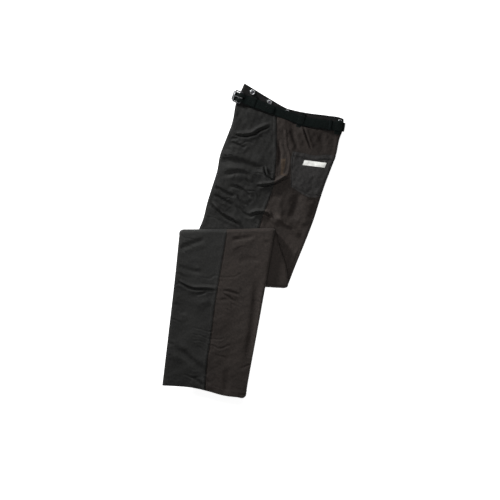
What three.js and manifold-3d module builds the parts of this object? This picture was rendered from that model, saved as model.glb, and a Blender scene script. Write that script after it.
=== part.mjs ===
// Long crease-pressed trousers, folded in three along the leg and lying flat on a surface.
// Millimetres. +X runs across the garment, +Y towards the waist, +Z up.
// The wearer's left leg lies on top in the lowest layer; each fold turns the pair over.

import * as THREE from 'three';
import { mergeVertices } from 'three/addons/utils/BufferGeometryUtils.js';
import Module from 'manifold-3d';

const wasm = await Module();
wasm.setup();

// ---- driving dimensions ----------------------------------------------------------------

const CLOTH = 1.0;              // thickness of one garment wall
const CAVITY = 4.6;             // slack left inside each flattened leg
const LEG = CAVITY + 2 * CLOTH; // thickness of one flattened leg
const LEG_GAP = 0.6;            // between the two legs of a layer
const FOLD_GAP = 1.0;           // between two folded layers
const PAIR = 2 * LEG + LEG_GAP; // thickness of one layer, both legs
const PITCH = PAIR + FOLD_GAP;  // height step from layer to layer
const SEAM_GAP = 0.3;           // clearance between neighbouring pieces
const FOLD_CLEAR = 0.5;         // each section ends this far from its fold line
const FAR = 500;                // longer than any piece, for cutting shapes

const SLOPE_START = 60;         // the seat starts to rise here (Y)
const SLOPE_END = 190;          // and is level from here to the waist (Y)
const TRUNK = 8.0;              // flattened thickness of each half at the waist
const TRUNK_LIFT = 5.2;         // the far half clears the belt under it by this height
const TRUNK_GAP = 2.2;          // between the two halves at the waist

const BAND = 2.0;               // waistband thickness
const BAND_EXTRA = 0.5;         // it stands this much proud of the panels
const LINING = 0.6;             // waistband curtain thickness
const WEBBING = 2.0;            // belt thickness
const WEBBING_WIDTH = 25;       // belt width
const LOOP = 1.0;               // belt loop cloth thickness
const LOOP_FOOT = 2.0;          // sewn end of a loop
const LOW_STUD = 0.8;           // height of a stud that the belt covers, and of the slide's wall

// ---- plan shapes -----------------------------------------------------------------------

// Fold lines across both legs: a point on the line and its angle to +X, in degrees.
const KNEE_FOLD = { x: 91, y: -116.2, angle: -3.5 };
const SHIN_FOLD = { x: -67.6, y: 20.7, angle: 1.8 };

// Waist: top edge, front to back, then the seam where the band meets the panels.
const BAND_TOP = [[-24.7, 408.2], [85.8, 343.2], [140.4, 330.5], [195, 324.2], [236, 316]];
const BAND_SEAM = [[-46, 352], [-3.4, 343.2], [28.6, 330.7], [84, 314.2], [111.8, 301.7],
  [130, 295.7], [177.6, 286.7], [211, 283.2], [231.5, 281]];
const BAND_FRONT = [-39, 373];
const BAND_BACK = [235, 290.7];

// Creases of each section, from its upper end down: front crease on the left, back on the right.
const THIGH_FRONT = [[-46, 352], [-54.6, 305.5], [-70.2, 263.9], [-85.8, 222.3], [-93.6, 180.7],
  [-106.6, 139.1], [-119.6, 97.5], [-130, 55.9], [-145.6, 18], [-178, foldY(KNEE_FOLD, -178)]];
const THIGH_BACK = [[231.5, 281], [226.2, 268.1], [215.8, 222.3], [200.2, 180.7], [184.6, 139.1],
  [171.6, 97.5], [158.6, 55.9], [143, 14.3], [109.2, -68.9], [91, foldY(KNEE_FOLD, 91)]];
const KNEE_FRONT = [[-192, foldY(SHIN_FOLD, -192)], [-178, foldY(KNEE_FOLD, -178)]];
const KNEE_BACK = [[59, foldY(SHIN_FOLD, 59)], [63.4, 4], [89, -84], [91, foldY(KNEE_FOLD, 91)]];
const SHIN_FRONT = [[-192, foldY(SHIN_FOLD, -192)], [-197, 5], [-235.3, -376]];
const SHIN_BACK = [[57, foldY(SHIN_FOLD, 57)], [32, -120.4], [-17.5, -391]];
const HEM = [[-194.2, -378.3], [-154.7, -382], [-118.3, -390.5], [-72.8, -402.7], [-24.2, -407.7]];

// Side seam, with the inseam right under it, from the top of each section down.
const THIGH_SEAM = [[57.2, 450], [57.2, 175.5], [52.8, 140.4], [33.3, 85.8], [-35, -117], [-60, -190]];
const KNEE_SEAM = [[-78, 80], [-67.6, 29], [-35, -117], [-25, -170]];
const SHIN_SEAM = [[-62, 80], [-67.6, 27.3], [-85, -81.1], [-100.1, -172.1], [-109.2, -248.3],
  [-118.3, -308.1], [-124.3, -384.5], [-126, -450]];

// Opening for the body between the two halves: centre front, crotch, centre back.
const RISE = [[73.7, 450], [-6, 180], [-4, 145], [18, 92], [60, 100], [112, 150], [140, 215],
  [167, 330], [180, 450]];

const REAR_POCKET = [[105, 231], [130, 227], [157, 221], [203, 222], [211.5, 220], [198.5, 180.7],
  [183, 139.1], [175.5, 116], [156, 111.5], [143.8, 113], [122.7, 125], [98.3, 140.4], [98.3, 214.5]];
const HAND_POCKET_BAG = [[-14, 318], [50, 312], [90, 296], [98, 212], [91, 168], [60, 138],
  [10, 132], [-28, 160]];
const HAND_POCKET_FACING = [[60, 308], [88, 298], [97, 212], [91, 170], [60, 176]];

// Belt centre line from the buckle round to the back, and the centre front line of the fly.
const BELT_LINE = [[-29.7, 370], [88, 329], [133.5, 310], [213, 298]];
const FLY_TOP = [36.5, 324];
const FLY_TILT = -16.4;

const TAG = { x: 160, y: 199, length: 62, height: 13, tilt: -7 };

// ---- height levels ---------------------------------------------------------------------

// Each wall of the lowest layer is level under the folded legs, then rises to the waist.
const FAR_LOW = { base: 0, waist: TRUNK_LIFT };
const FAR_HIGH = { base: LEG, waist: TRUNK_LIFT + TRUNK };
const NEAR_LOW = { base: LEG + LEG_GAP, waist: TRUNK_LIFT + TRUNK + TRUNK_GAP };
const NEAR_HIGH = { base: PAIR, waist: TRUNK_LIFT + 2 * TRUNK + TRUNK_GAP };
const BAND_SURFACE = NEAR_HIGH.waist + BAND_EXTRA;
const BAND_UNDERSIDE = FAR_LOW.waist - BAND_EXTRA;
const BELT_CLEAR = SEAM_GAP + LOW_STUD + SEAM_GAP;
const BELT_NEAR = BAND_SURFACE + BELT_CLEAR;
const BELT_FAR = BAND_UNDERSIDE - BELT_CLEAR - WEBBING;
const TAIL_LOW = BELT_NEAR + WEBBING + SEAM_GAP;

// ---- colours ---------------------------------------------------------------------------

const FRONT_CLOTH = [0x26292a, 0.85, 0];
const BACK_CLOTH = [0x2c2725, 0.88, 0];
const BAND_CLOTH = [0x1a1e1f, 0.8, 0];
const LINING_CLOTH = [0x303234, 0.9, 0];
const WEBBING_CLOTH = [0x141819, 0.75, 0];
const BRIGHT_METAL = [0xb8babd, 0.3, 1];
const DARK_METAL = [0x5a5c5e, 0.4, 1];
const THREAD = [0xe8e8e4, 0.7, 0];

// ---- geometry helpers ------------------------------------------------------------------

function foldY(fold, x) {
  return fold.y + (x - fold.x) * Math.tan(THREE.MathUtils.degToRad(fold.angle));
}

function toSolid(geometry) {
  geometry.deleteAttribute('normal');
  geometry.deleteAttribute('uv');
  const merged = mergeVertices(geometry, 1e-4);
  return new wasm.Manifold(new wasm.Mesh({
    numProp: 3,
    vertProperties: new Float32Array(merged.attributes.position.array),
    triVerts: new Uint32Array(merged.index.array),
  }));
}

function toGeometry(solid) {
  const mesh = solid.getMesh();
  const geometry = new THREE.BufferGeometry();
  geometry.setAttribute('position', new THREE.BufferAttribute(mesh.vertProperties, 3));
  geometry.setIndex(new THREE.BufferAttribute(mesh.triVerts, 1));
  geometry.computeVertexNormals();
  return geometry;
}

// Upright prism over a plan outline.
function prism(points, low, high) {
  const shape = new THREE.Shape(points.map(([x, y]) => new THREE.Vector2(x, y)));
  const geometry = new THREE.ExtrudeGeometry(shape, { depth: high - low, bevelEnabled: false });
  geometry.translate(0, 0, low);
  return toSolid(geometry);
}

// Solid between two levels that follow the seat's rise, right across the garment.
function seatSlab(lower, upper, lowShift = 0, highShift = 0) {
  const shape = new THREE.Shape([
    new THREE.Vector2(-FAR, lower.base + lowShift),
    new THREE.Vector2(SLOPE_START, lower.base + lowShift),
    new THREE.Vector2(SLOPE_END, lower.waist + lowShift),
    new THREE.Vector2(FAR, lower.waist + lowShift),
    new THREE.Vector2(FAR, upper.waist + highShift),
    new THREE.Vector2(SLOPE_END, upper.waist + highShift),
    new THREE.Vector2(SLOPE_START, upper.base + highShift),
    new THREE.Vector2(-FAR, upper.base + highShift),
  ]);
  const geometry = new THREE.ExtrudeGeometry(shape, { depth: 2 * FAR, bevelEnabled: false });
  const acrossX = new THREE.Matrix4().set(0, 0, 1, -FAR, 1, 0, 0, 0, 0, 1, 0, 0, 0, 0, 0, 1);
  geometry.applyMatrix4(acrossX);
  return toSolid(geometry);
}

function box(x0, x1, y0, y1, z0, z1) {
  const geometry = new THREE.BoxGeometry(x1 - x0, y1 - y0, z1 - z0);
  geometry.translate((x0 + x1) / 2, (y0 + y1) / 2, (z0 + z1) / 2);
  return toSolid(geometry);
}

// Cylinder along the local Y axis, between y0 and y1.
function rodY(radius, y0, y1, x, z, sides = 20) {
  const geometry = new THREE.CylinderGeometry(radius, radius, y1 - y0, sides);
  geometry.translate(x, (y0 + y1) / 2, z);
  return toSolid(geometry);
}

// Both sides of an open line, each this far from it.
function offsetLine(line, distance) {
  return line.map((point, i) => {
    const before = line[Math.max(i - 1, 0)];
    const after = line[Math.min(i + 1, line.length - 1)];
    const inward = new THREE.Vector2(point[0] - before[0], point[1] - before[1]).normalize();
    const outward = new THREE.Vector2(after[0] - point[0], after[1] - point[1]).normalize();
    const along = inward.clone().add(outward).normalize();
    const stretch = i > 0 && i < line.length - 1 ? 1 / along.dot(outward) : 1;
    return [point[0] - along.y * distance * stretch, point[1] + along.x * distance * stretch];
  });
}

function strip(line, width) {
  return [...offsetLine(line, width / 2), ...offsetLine(line, -width / 2).reverse()];
}

// Flat band that follows a path in the local X-Z plane, centred on local Y.
function ribbon(path, thickness, width) {
  const shape = new THREE.Shape(strip(path, thickness).map(([x, z]) => new THREE.Vector2(x, z)));
  const geometry = new THREE.ExtrudeGeometry(shape, { depth: width, bevelEnabled: false });
  const upright = new THREE.Matrix4().set(1, 0, 0, 0, 0, 0, -1, width / 2, 0, 1, 0, 0, 0, 0, 0, 1);
  geometry.applyMatrix4(upright);
  return toSolid(geometry);
}

function arc(cx, cz, radius, from, to, steps) {
  const points = [];
  for (let i = 0; i <= steps; i += 1) {
    const angle = THREE.MathUtils.degToRad(from + ((to - from) * i) / steps);
    points.push([cx + radius * Math.cos(angle), cz + radius * Math.sin(angle)]);
  }
  return points;
}

function shifted(points, dx, dy = 0) {
  return points.map(([x, y]) => [x + dx, y + dy]);
}

const garment = new THREE.Group();

function addPiece(name, solid, finish, place = { x: 0, y: 0, tilt: 0 }) {
  const [color, roughness, metalness] = finish;
  const material = new THREE.MeshStandardMaterial({ color, roughness, metalness });
  const mesh = new THREE.Mesh(toGeometry(solid), material);
  mesh.name = name;
  mesh.position.set(place.x, place.y, 0);
  mesh.rotation.z = THREE.MathUtils.degToRad(place.tilt);
  garment.add(mesh);
}

function lineFrame(from, to) {
  const tilt = THREE.MathUtils.radToDeg(Math.atan2(to[1] - from[1], to[0] - from[0]));
  return { x: from[0], y: from[1], tilt };
}

// A plan point given in a placed frame's own axes.
function pointIn(frame, x, y) {
  const turn = THREE.MathUtils.degToRad(frame.tilt);
  return [
    frame.x + x * Math.cos(turn) - y * Math.sin(turn),
    frame.y + x * Math.sin(turn) + y * Math.cos(turn),
  ];
}

// ---- leg sections ----------------------------------------------------------------------

// The hollow between the creases, run out past both open ends.
function hollowOutline(front, back, wall) {
  const left = shifted(front, wall);
  const right = shifted(back, -wall);
  const top = Math.max(front[0][1], back[0][1]) + FAR;
  const foot = Math.min(front[front.length - 1][1], back[back.length - 1][1]) - FAR;
  return [[left[0][0], top], ...left, [left[left.length - 1][0], foot],
    [right[right.length - 1][0], foot], ...[...right].reverse(), [right[0][0], top]];
}

function splitAtSeam(tube, seam) {
  const frontSide = [[-2 * FAR, 2 * FAR], [seam[0][0], 2 * FAR], ...seam,
    [seam[seam.length - 1][0], -2 * FAR], [-2 * FAR, -2 * FAR]];
  const backSide = [[2 * FAR, 2 * FAR], [seam[0][0], 2 * FAR], ...seam,
    [seam[seam.length - 1][0], -2 * FAR], [2 * FAR, -2 * FAR]];
  const half = SEAM_GAP / 2;
  return {
    front: tube.intersect(prism(shifted(frontSide, -half), -FAR, FAR)),
    back: tube.intersect(prism(shifted(backSide, half), -FAR, FAR)),
  };
}

function addSection(side, name, tube, seam) {
  const halves = splitAtSeam(tube, seam);
  addPiece(`${side}_front_${name}`, halves.front, FRONT_CLOTH);
  addPiece(`${side}_back_${name}`, halves.back, BACK_CLOTH);
}

// A crease with its two ends pulled in from the seam or fold line that they meet.
function clearEnds(crease, topClear, footClear) {
  const points = crease.map(([x, y]) => [x, y]);
  points[0][1] -= topClear;
  points[points.length - 1][1] += footClear;
  return points;
}

function addThigh(side, lower, upper, bodySide) {
  const front = clearEnds(THIGH_FRONT, SEAM_GAP, FOLD_CLEAR);
  const back = clearEnds(THIGH_BACK, SEAM_GAP, FOLD_CLEAR);
  const top = shifted(BAND_SEAM.slice(1, -1), 0, -SEAM_GAP).reverse();
  const outline = [...front, ...[...back].reverse(), ...top];
  const shell = prism(outline, -FAR, FAR).intersect(seatSlab(lower, upper));
  const hollow = prism(hollowOutline(front, back, CLOTH), -FAR, FAR)
    .intersect(seatSlab(lower, upper, CLOTH, -CLOTH));
  const innerWall = bodySide === 'low'
    ? seatSlab(lower, lower, -CLOTH, 1.5 * CLOTH)
    : seatSlab(upper, upper, -1.5 * CLOTH, CLOTH);
  const rise = prism(RISE, -FAR, FAR).intersect(innerWall);
  addSection(side, 'thigh', shell.subtract(hollow).subtract(rise), THIGH_SEAM);
}

function addFoldedSection(side, name, front, back, foot, low, seam) {
  const outline = [...front, ...foot, ...[...back].reverse()];
  const tube = prism(outline, low, low + LEG)
    .subtract(prism(hollowOutline(front, back, CLOTH), low + CLOTH, low + LEG - CLOTH));
  addSection(side, name, tube, seam);
}

function addLegs() {
  addThigh('right', FAR_LOW, FAR_HIGH, 'high');
  addThigh('left', NEAR_LOW, NEAR_HIGH, 'low');
  const kneeFront = clearEnds(KNEE_FRONT, FOLD_CLEAR, FOLD_CLEAR);
  const kneeBack = clearEnds(KNEE_BACK, FOLD_CLEAR, FOLD_CLEAR);
  const shinFront = clearEnds(SHIN_FRONT, FOLD_CLEAR, 0);
  const shinBack = clearEnds(SHIN_BACK, FOLD_CLEAR, 0);
  const upperLeg = LEG + LEG_GAP;
  addFoldedSection('left', 'knee', kneeFront, kneeBack, [], PITCH, KNEE_SEAM);
  addFoldedSection('right', 'knee', kneeFront, kneeBack, [], PITCH + upperLeg, KNEE_SEAM);
  addFoldedSection('right', 'shin', shinFront, shinBack, HEM, 2 * PITCH, SHIN_SEAM);
  addFoldedSection('left', 'shin', shinFront, shinBack, HEM, 2 * PITCH + upperLeg, SHIN_SEAM);
}

// ---- waist -----------------------------------------------------------------------------

function bandOutline() {
  return [...BAND_TOP, BAND_BACK, ...[...BAND_SEAM].reverse(), BAND_FRONT];
}

function addWaistband(side, low, bodySide) {
  const high = low + TRUNK + 2 * BAND_EXTRA;
  const left = [[BAND_TOP[0][0], BAND_TOP[0][1]], BAND_FRONT, BAND_SEAM[0]];
  const right = [BAND_TOP[BAND_TOP.length - 1], BAND_BACK, BAND_SEAM[BAND_SEAM.length - 1]];
  const hollow = prism(hollowOutline(left, right, BAND), low + BAND, high - BAND);
  const wall = bodySide === 'low' ? [low - 1, low + BAND + 0.5] : [high - BAND - 0.5, high + 1];
  const rise = prism(RISE, wall[0], wall[1]);
  addPiece(`waistband_${side}`, prism(bandOutline(), low, high).subtract(hollow).subtract(rise), BAND_CLOTH);
}

// A plain strip of curtain cloth inside the outer wall of the band.
function addLining(side, low) {
  const inset = 4;
  const top = shifted(BAND_TOP, 0, -inset);
  const seam = shifted(BAND_SEAM, 0, inset);
  top[0][0] += inset;
  seam[0][0] += inset + 1;
  top[top.length - 1][0] -= inset;
  seam[seam.length - 1][0] -= inset;
  addPiece(`waistband_lining_${side}`, prism([...top, ...seam.reverse()], low, low + LINING), LINING_CLOTH);
}

function addWaist() {
  addWaistband('right', BAND_UNDERSIDE, 'high');
  addWaistband('left', NEAR_LOW.waist - BAND_EXTRA, 'low');
  addLining('right', BAND_UNDERSIDE + BAND + SEAM_GAP);
  addLining('left', BAND_SURFACE - BAND - SEAM_GAP - LINING);
}

// ---- pockets ---------------------------------------------------------------------------

const POCKET_CLOTH = 1.0;
const BAG_CLOTH = 0.8;

function addPockets() {
  const patch = prism(REAR_POCKET, -FAR, FAR);
  addPiece('rear_pocket_left',
    patch.intersect(seatSlab(NEAR_HIGH, NEAR_HIGH, SEAM_GAP, SEAM_GAP + POCKET_CLOTH)), BACK_CLOTH);
  addPiece('rear_pocket_right',
    patch.intersect(seatSlab(FAR_LOW, FAR_LOW, -SEAM_GAP - POCKET_CLOTH, -SEAM_GAP)), BACK_CLOTH);
  const facing = prism(HAND_POCKET_FACING, -FAR, FAR);
  const bag = prism(HAND_POCKET_BAG, -FAR, FAR);
  const facingNear = -CLOTH - SEAM_GAP;
  const bagNear = facingNear - BAG_CLOTH - SEAM_GAP;
  addPiece('hand_pocket_facing_left',
    facing.intersect(seatSlab(NEAR_HIGH, NEAR_HIGH, facingNear - BAG_CLOTH, facingNear)), BACK_CLOTH);
  addPiece('hand_pocket_bag_left',
    bag.intersect(seatSlab(NEAR_HIGH, NEAR_HIGH, bagNear - BAG_CLOTH, bagNear)), LINING_CLOTH);
  addPiece('hand_pocket_facing_right',
    facing.intersect(seatSlab(FAR_LOW, FAR_LOW, -facingNear, -facingNear + BAG_CLOTH)), BACK_CLOTH);
  addPiece('hand_pocket_bag_right',
    bag.intersect(seatSlab(FAR_LOW, FAR_LOW, -bagNear, -bagNear + BAG_CLOTH)), LINING_CLOTH);
}

// Plain woven tag on the pocket that lies uppermost.
function addTag() {
  const half = TAG.length / 2;
  const slant = 4;
  const outline = [[-half, 0], [half - slant, 0], [half, TAG.height], [slant - half, TAG.height]];
  const turned = outline.map(([x, y]) => pointIn(TAG, x, y - TAG.height / 2));
  const low = 2 * SEAM_GAP + POCKET_CLOTH;
  addPiece('pocket_tag',
    prism(turned, -FAR, FAR).intersect(seatSlab(NEAR_HIGH, NEAR_HIGH, low, low + 0.6)), THREAD);
}

// ---- belt ------------------------------------------------------------------------------

const FRONT_FRAME = lineFrame(BELT_LINE[0], BELT_LINE[1]);
const SIDE_FRAME = lineFrame(BELT_LINE[1], BELT_LINE[2]);
const BACK_FRAME = lineFrame(BELT_LINE[2], BELT_LINE[3]);
const HALF_BELT = WEBBING_WIDTH / 2;

const BAR_RADIUS = 1.4;
const BAR_Z = BELT_NEAR + WEBBING;      // height of both buckle bars
const ROLLER_X = -20;                   // roller bar, ahead of the heel bar at local x = 0
const ROLLER_RADIUS = 2.3;
const EYE_HOLE = BAR_RADIUS + SEAM_GAP;
const EYE_RADIUS = EYE_HOLE + 1.2;      // strap end turned round the heel bar
const FRAME_HALF = 16;                  // half the buckle frame's outer width
const FRAME_BAR = 3;
const PRONG_WIDTH = 3.6;
const PRONG_THICK = 1.6;
const TURN_X = -19.5;                   // the front turn of the belt starts here
const TURN_BEND = 4;                    // radius of its two corners
const TAIL_END = 90;
const BACK_TURN = 25;                   // the back turn passes this far beyond the last point
const SLOT_HALF = 2.6;

function placedSolid(solid, frame) {
  const geometry = toGeometry(solid);
  geometry.rotateZ(THREE.MathUtils.degToRad(frame.tilt));
  geometry.translate(frame.x, frame.y, 0);
  return toSolid(geometry);
}

function beltTail() {
  const middleFar = BELT_FAR + WEBBING / 2;
  const underRoller = BAR_Z - ROLLER_RADIUS - SEAM_GAP - WEBBING / 2;
  const overHeel = BAR_Z + EYE_RADIUS + SEAM_GAP + WEBBING / 2 + 0.2;
  const onBelt = TAIL_LOW + WEBBING / 2;
  const turn = [...arc(TURN_X, middleFar + TURN_BEND, TURN_BEND, 270, 180, 4),
    ...arc(TURN_X, underRoller - TURN_BEND, TURN_BEND, 180, 90, 4)];
  const path = [[0, middleFar], ...turn, [-6, overHeel], [4, overHeel], [13, onBelt], [TAIL_END, onBelt]];
  const slot = box(ROLLER_X - 3.5, 7, -SLOT_HALF, SLOT_HALF, underRoller - WEBBING, overHeel + WEBBING);
  return ribbon(path, WEBBING, WEBBING_WIDTH).subtract(slot);
}

function beltStrap() {
  const near = [pointIn(FRONT_FRAME, EYE_HOLE + 0.5, 0), ...BELT_LINE.slice(1)];
  const far = [pointIn(FRONT_FRAME, -2, 0), ...BELT_LINE.slice(1)];
  const nearStrip = prism(strip(near, WEBBING_WIDTH), BELT_NEAR, BELT_NEAR + WEBBING);
  const farStrip = prism(strip(far, WEBBING_WIDTH), BELT_FAR, BELT_FAR + WEBBING);
  const eye = rodY(EYE_RADIUS, -HALF_BELT, HALF_BELT, 0, BAR_Z)
    .subtract(rodY(EYE_HOLE, -HALF_BELT - 1, HALF_BELT + 1, 0, BAR_Z));
  const prongNotch = box(-EYE_RADIUS - 1, EYE_RADIUS + 1, -SLOT_HALF, SLOT_HALF, BAR_Z - 4, BAR_Z + 4);
  const high = BELT_NEAR + WEBBING / 2;
  const low = BELT_FAR + WEBBING / 2;
  const bend = 3;
  const turnPath = [[-3, high], ...arc(BACK_TURN - bend, high - bend, bend, 90, 0, 4),
    ...arc(BACK_TURN - bend, low + bend, bend, 0, -90, 4), [-3, low]];
  const lastPoint = { ...BACK_FRAME, x: BELT_LINE[3][0], y: BELT_LINE[3][1] };
  return nearStrip.add(placedSolid(eye, FRONT_FRAME))
    .subtract(placedSolid(prongNotch, FRONT_FRAME))
    .add(farStrip)
    .add(placedSolid(beltTail(), FRONT_FRAME))
    .add(placedSolid(ribbon(turnPath, WEBBING, WEBBING_WIDTH), lastPoint));
}

function buckleFrame() {
  const reach = FRAME_HALF - FRAME_BAR + 0.5;
  const sideLow = BAR_Z - FRAME_BAR / 2;
  const sideHigh = BAR_Z + FRAME_BAR / 2;
  return rodY(BAR_RADIUS, -reach, reach, 0, BAR_Z)
    .add(rodY(BAR_RADIUS, -reach, reach, ROLLER_X, BAR_Z))
    .add(box(ROLLER_X - 2, 2, FRAME_HALF - FRAME_BAR, FRAME_HALF, sideLow, sideHigh))
    .add(box(ROLLER_X - 2, 2, -FRAME_HALF, FRAME_BAR - FRAME_HALF, sideLow, sideHigh));
}

function buckleProng() {
  const armZ = BAR_Z + ROLLER_RADIUS + SEAM_GAP + PRONG_THICK / 2;
  const arm = ribbon([[0.6, BAR_Z + EYE_HOLE + 0.6], [-3.5, armZ], [ROLLER_X - 2.8, armZ]],
    PRONG_THICK, PRONG_WIDTH);
  return rodY(EYE_HOLE + 1.1, -PRONG_WIDTH / 2, PRONG_WIDTH / 2, 0, BAR_Z)
    .add(arm)
    .subtract(rodY(EYE_HOLE, -PRONG_WIDTH, PRONG_WIDTH, 0, BAR_Z));
}

function buckleRoller() {
  const half = FRAME_HALF - FRAME_BAR - SEAM_GAP;
  return rodY(ROLLER_RADIUS, -half, half, ROLLER_X, BAR_Z)
    .subtract(rodY(BAR_RADIUS + SEAM_GAP, -half - 1, half + 1, ROLLER_X, BAR_Z));
}

// Flat ring that slides along the belt.
const SLIDE_LENGTH = 7;
const SLIDE_FRAME = { ...BACK_FRAME, ...spot(BACK_FRAME, 68) };

function spot(frame, along) {
  const [x, y] = pointIn(frame, along, 0);
  return { x, y };
}

function beltSlide() {
  const inner = HALF_BELT + SEAM_GAP;
  const outer = inner + 1.2;
  const half = SLIDE_LENGTH / 2;
  const low = BAND_SURFACE + SEAM_GAP;
  const high = BELT_NEAR + WEBBING + SEAM_GAP;
  return box(-half, half, -outer, outer, low, high + LOW_STUD)
    .subtract(box(-half - 1, half + 1, -inner, inner, low + LOW_STUD, high));
}

function addBelt() {
  addPiece('belt_strap', beltStrap(), WEBBING_CLOTH);
  addPiece('buckle_frame', buckleFrame(), DARK_METAL, FRONT_FRAME);
  addPiece('buckle_prong', buckleProng(), BRIGHT_METAL, FRONT_FRAME);
  addPiece('buckle_roller', buckleRoller(), BRIGHT_METAL, FRONT_FRAME);
  addPiece('belt_slide', beltSlide(), DARK_METAL, SLIDE_FRAME);
}

// ---- belt loops ------------------------------------------------------------------------

// Each bridge of cloth spans the belt: its place along the line, its width and what it covers.
const LOOPS = [
  { name: 'front', frame: FRONT_FRAME, along: 34, width: 8, over: TAIL_LOW + WEBBING, foot: SEAM_GAP },
  { name: 'side', frame: SIDE_FRAME, along: 40, width: 15, over: BELT_NEAR + WEBBING, foot: SEAM_GAP },
  { name: 'back', frame: BACK_FRAME, along: 90, width: 18, over: BELT_NEAR + WEBBING, foot: BELT_CLEAR },
];

function bridge(width, plateLow, plateHigh, footLow, footHigh) {
  const inner = HALF_BELT + 0.6;
  const outer = inner + LOOP_FOOT;
  const half = width / 2;
  const low = Math.min(plateLow, footLow);
  const high = Math.max(plateHigh, footHigh);
  const spanLow = plateLow < footLow ? plateHigh : low - 1;
  const spanHigh = plateLow < footLow ? high + 1 : plateLow;
  return box(-half, half, -outer, outer, low, high)
    .subtract(box(-half - 1, half + 1, -inner, inner, spanLow, spanHigh));
}

function addLoops() {
  for (const loop of LOOPS) {
    const place = { ...loop.frame, ...spot(loop.frame, loop.along) };
    const plate = loop.over + SEAM_GAP;
    const near = bridge(loop.width, plate, plate + LOOP, BAND_SURFACE + loop.foot, plate);
    const farPlate = BELT_FAR - SEAM_GAP - LOOP;
    const far = bridge(loop.width, farPlate, farPlate + LOOP, farPlate + LOOP, BAND_UNDERSIDE - loop.foot);
    addPiece(`belt_loop_${loop.name}_left`, near, BAND_CLOTH, place);
    addPiece(`belt_loop_${loop.name}_right`, far, BAND_CLOTH, place);
  }
}

// ---- brace studs -----------------------------------------------------------------------

const STUD_RADIUS = 8;
// Where each stud sits on the band, and how far it stands up.
const STUDS = [
  { name: 'front', x: -1.3, y: 385.3, height: 2.6 },
  { name: 'middle', x: 43, y: 359.5, height: LOW_STUD },
  { name: 'side', x: 88.9, y: 333.6, height: LOW_STUD },
  { name: 'back', x: 226.5, y: 310, height: LOW_STUD },
];

function studCap(height, low) {
  const rim = STUD_RADIUS;
  const profile = [[0, 0], [rim, 0], [rim, height * 0.6], [rim - 1, height], [rim - 3, height],
    [rim - 4, height * 0.7], [0, height * 0.7]];
  const points = profile.map(([r, h]) => new THREE.Vector2(r, h));
  const geometry = new THREE.LatheGeometry(points, 20);
  geometry.rotateX(Math.PI / 2);
  geometry.translate(0, 0, low);
  return toSolid(geometry);
}

function flipped(solid, level) {
  const geometry = toGeometry(solid);
  geometry.rotateX(Math.PI);
  geometry.translate(0, 0, 2 * level);
  return toSolid(geometry);
}

function addStuds() {
  for (const stud of STUDS) {
    const place = { x: stud.x, y: stud.y, tilt: 0 };
    const near = studCap(stud.height, BAND_SURFACE + SEAM_GAP);
    const mirror = flipped(studCap(stud.height, 0), (BAND_UNDERSIDE - SEAM_GAP) / 2);
    addPiece(`brace_stud_${stud.name}_left`, near, BRIGHT_METAL, place);
    addPiece(`brace_stud_${stud.name}_right`, mirror, BRIGHT_METAL, place);
  }
}

// ---- fly -------------------------------------------------------------------------------

// The fly lies at the inner edge of the front tuck. Local +Y points up the fly, +X into the body.
const FLY = { x: FLY_TOP[0], y: FLY_TOP[1], tilt: FLY_TILT };
const TAPE = 0.6;
const TAPE_REACH = 18;
const ZIP_LENGTH = 129;
const TOOTH_PITCH = 3;
const TOOTH = 1;
const ZIP_LOW = FAR_HIGH.waist - CLOTH - SEAM_GAP - TAPE;
const ZIP_HIGH = NEAR_LOW.waist + CLOTH + SEAM_GAP + TAPE;
const ZIP_MIDDLE = (ZIP_LOW + ZIP_HIGH) / 2;
const TEETH_X = [3.3, 5.3];
const TEETH_OVERLAP = 0.7;

function addTapes() {
  const top = -4;
  const foot = top - ZIP_LENGTH;
  addPiece('zipper_tape_left', box(-TAPE_REACH, 3, foot, top, ZIP_HIGH - TAPE, ZIP_HIGH), LINING_CLOTH, FLY);
  addPiece('zipper_tape_right', box(-TAPE_REACH, 3, foot, top, ZIP_LOW, ZIP_LOW + TAPE), LINING_CLOTH, FLY);
  const facingLow = ZIP_HIGH + SEAM_GAP;
  const shieldLow = ZIP_LOW - SEAM_GAP - TAPE;
  addPiece('fly_facing', box(-36, 0, foot, top, facingLow, facingLow + TAPE), FRONT_CLOTH, FLY);
  addPiece('fly_shield', box(-36, 2, foot, top, shieldLow, shieldLow + TAPE), FRONT_CLOTH, FLY);
}

function teethRow(start, barLow, barHigh, toothLow, toothHigh) {
  let row = box(TEETH_X[0], TEETH_X[1], -ZIP_LENGTH, -6, barLow, barHigh);
  for (let y = -ZIP_LENGTH + start; y < -8; y += TOOTH_PITCH) {
    row = row.add(box(TEETH_X[0], TEETH_X[1], y, y + TOOTH, toothLow, toothHigh));
  }
  return row;
}

function addTeeth() {
  const upper = ZIP_MIDDLE + TEETH_OVERLAP;
  const lower = ZIP_MIDDLE - TEETH_OVERLAP;
  const left = teethRow(0.5, upper + SEAM_GAP, ZIP_HIGH, lower, upper + 2 * SEAM_GAP);
  const right = teethRow(2, ZIP_LOW, lower - SEAM_GAP, lower - 2 * SEAM_GAP, upper);
  addPiece('zipper_teeth_left', left, DARK_METAL, FLY);
  addPiece('zipper_teeth_right', right, DARK_METAL, FLY);
  const stopLow = ZIP_LOW + TAPE;
  addPiece('zipper_bottom_stop',
    box(TEETH_X[0], TEETH_X[1], -ZIP_LENGTH - 3.3, -ZIP_LENGTH - SEAM_GAP, stopLow, ZIP_HIGH - TAPE),
    BRIGHT_METAL, FLY);
}

const SLIDER_LENGTH = 9;
const SLIDER_Y = -12;
const PULL_LENGTH = 24;
const PULL_X = -3.6;

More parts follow.
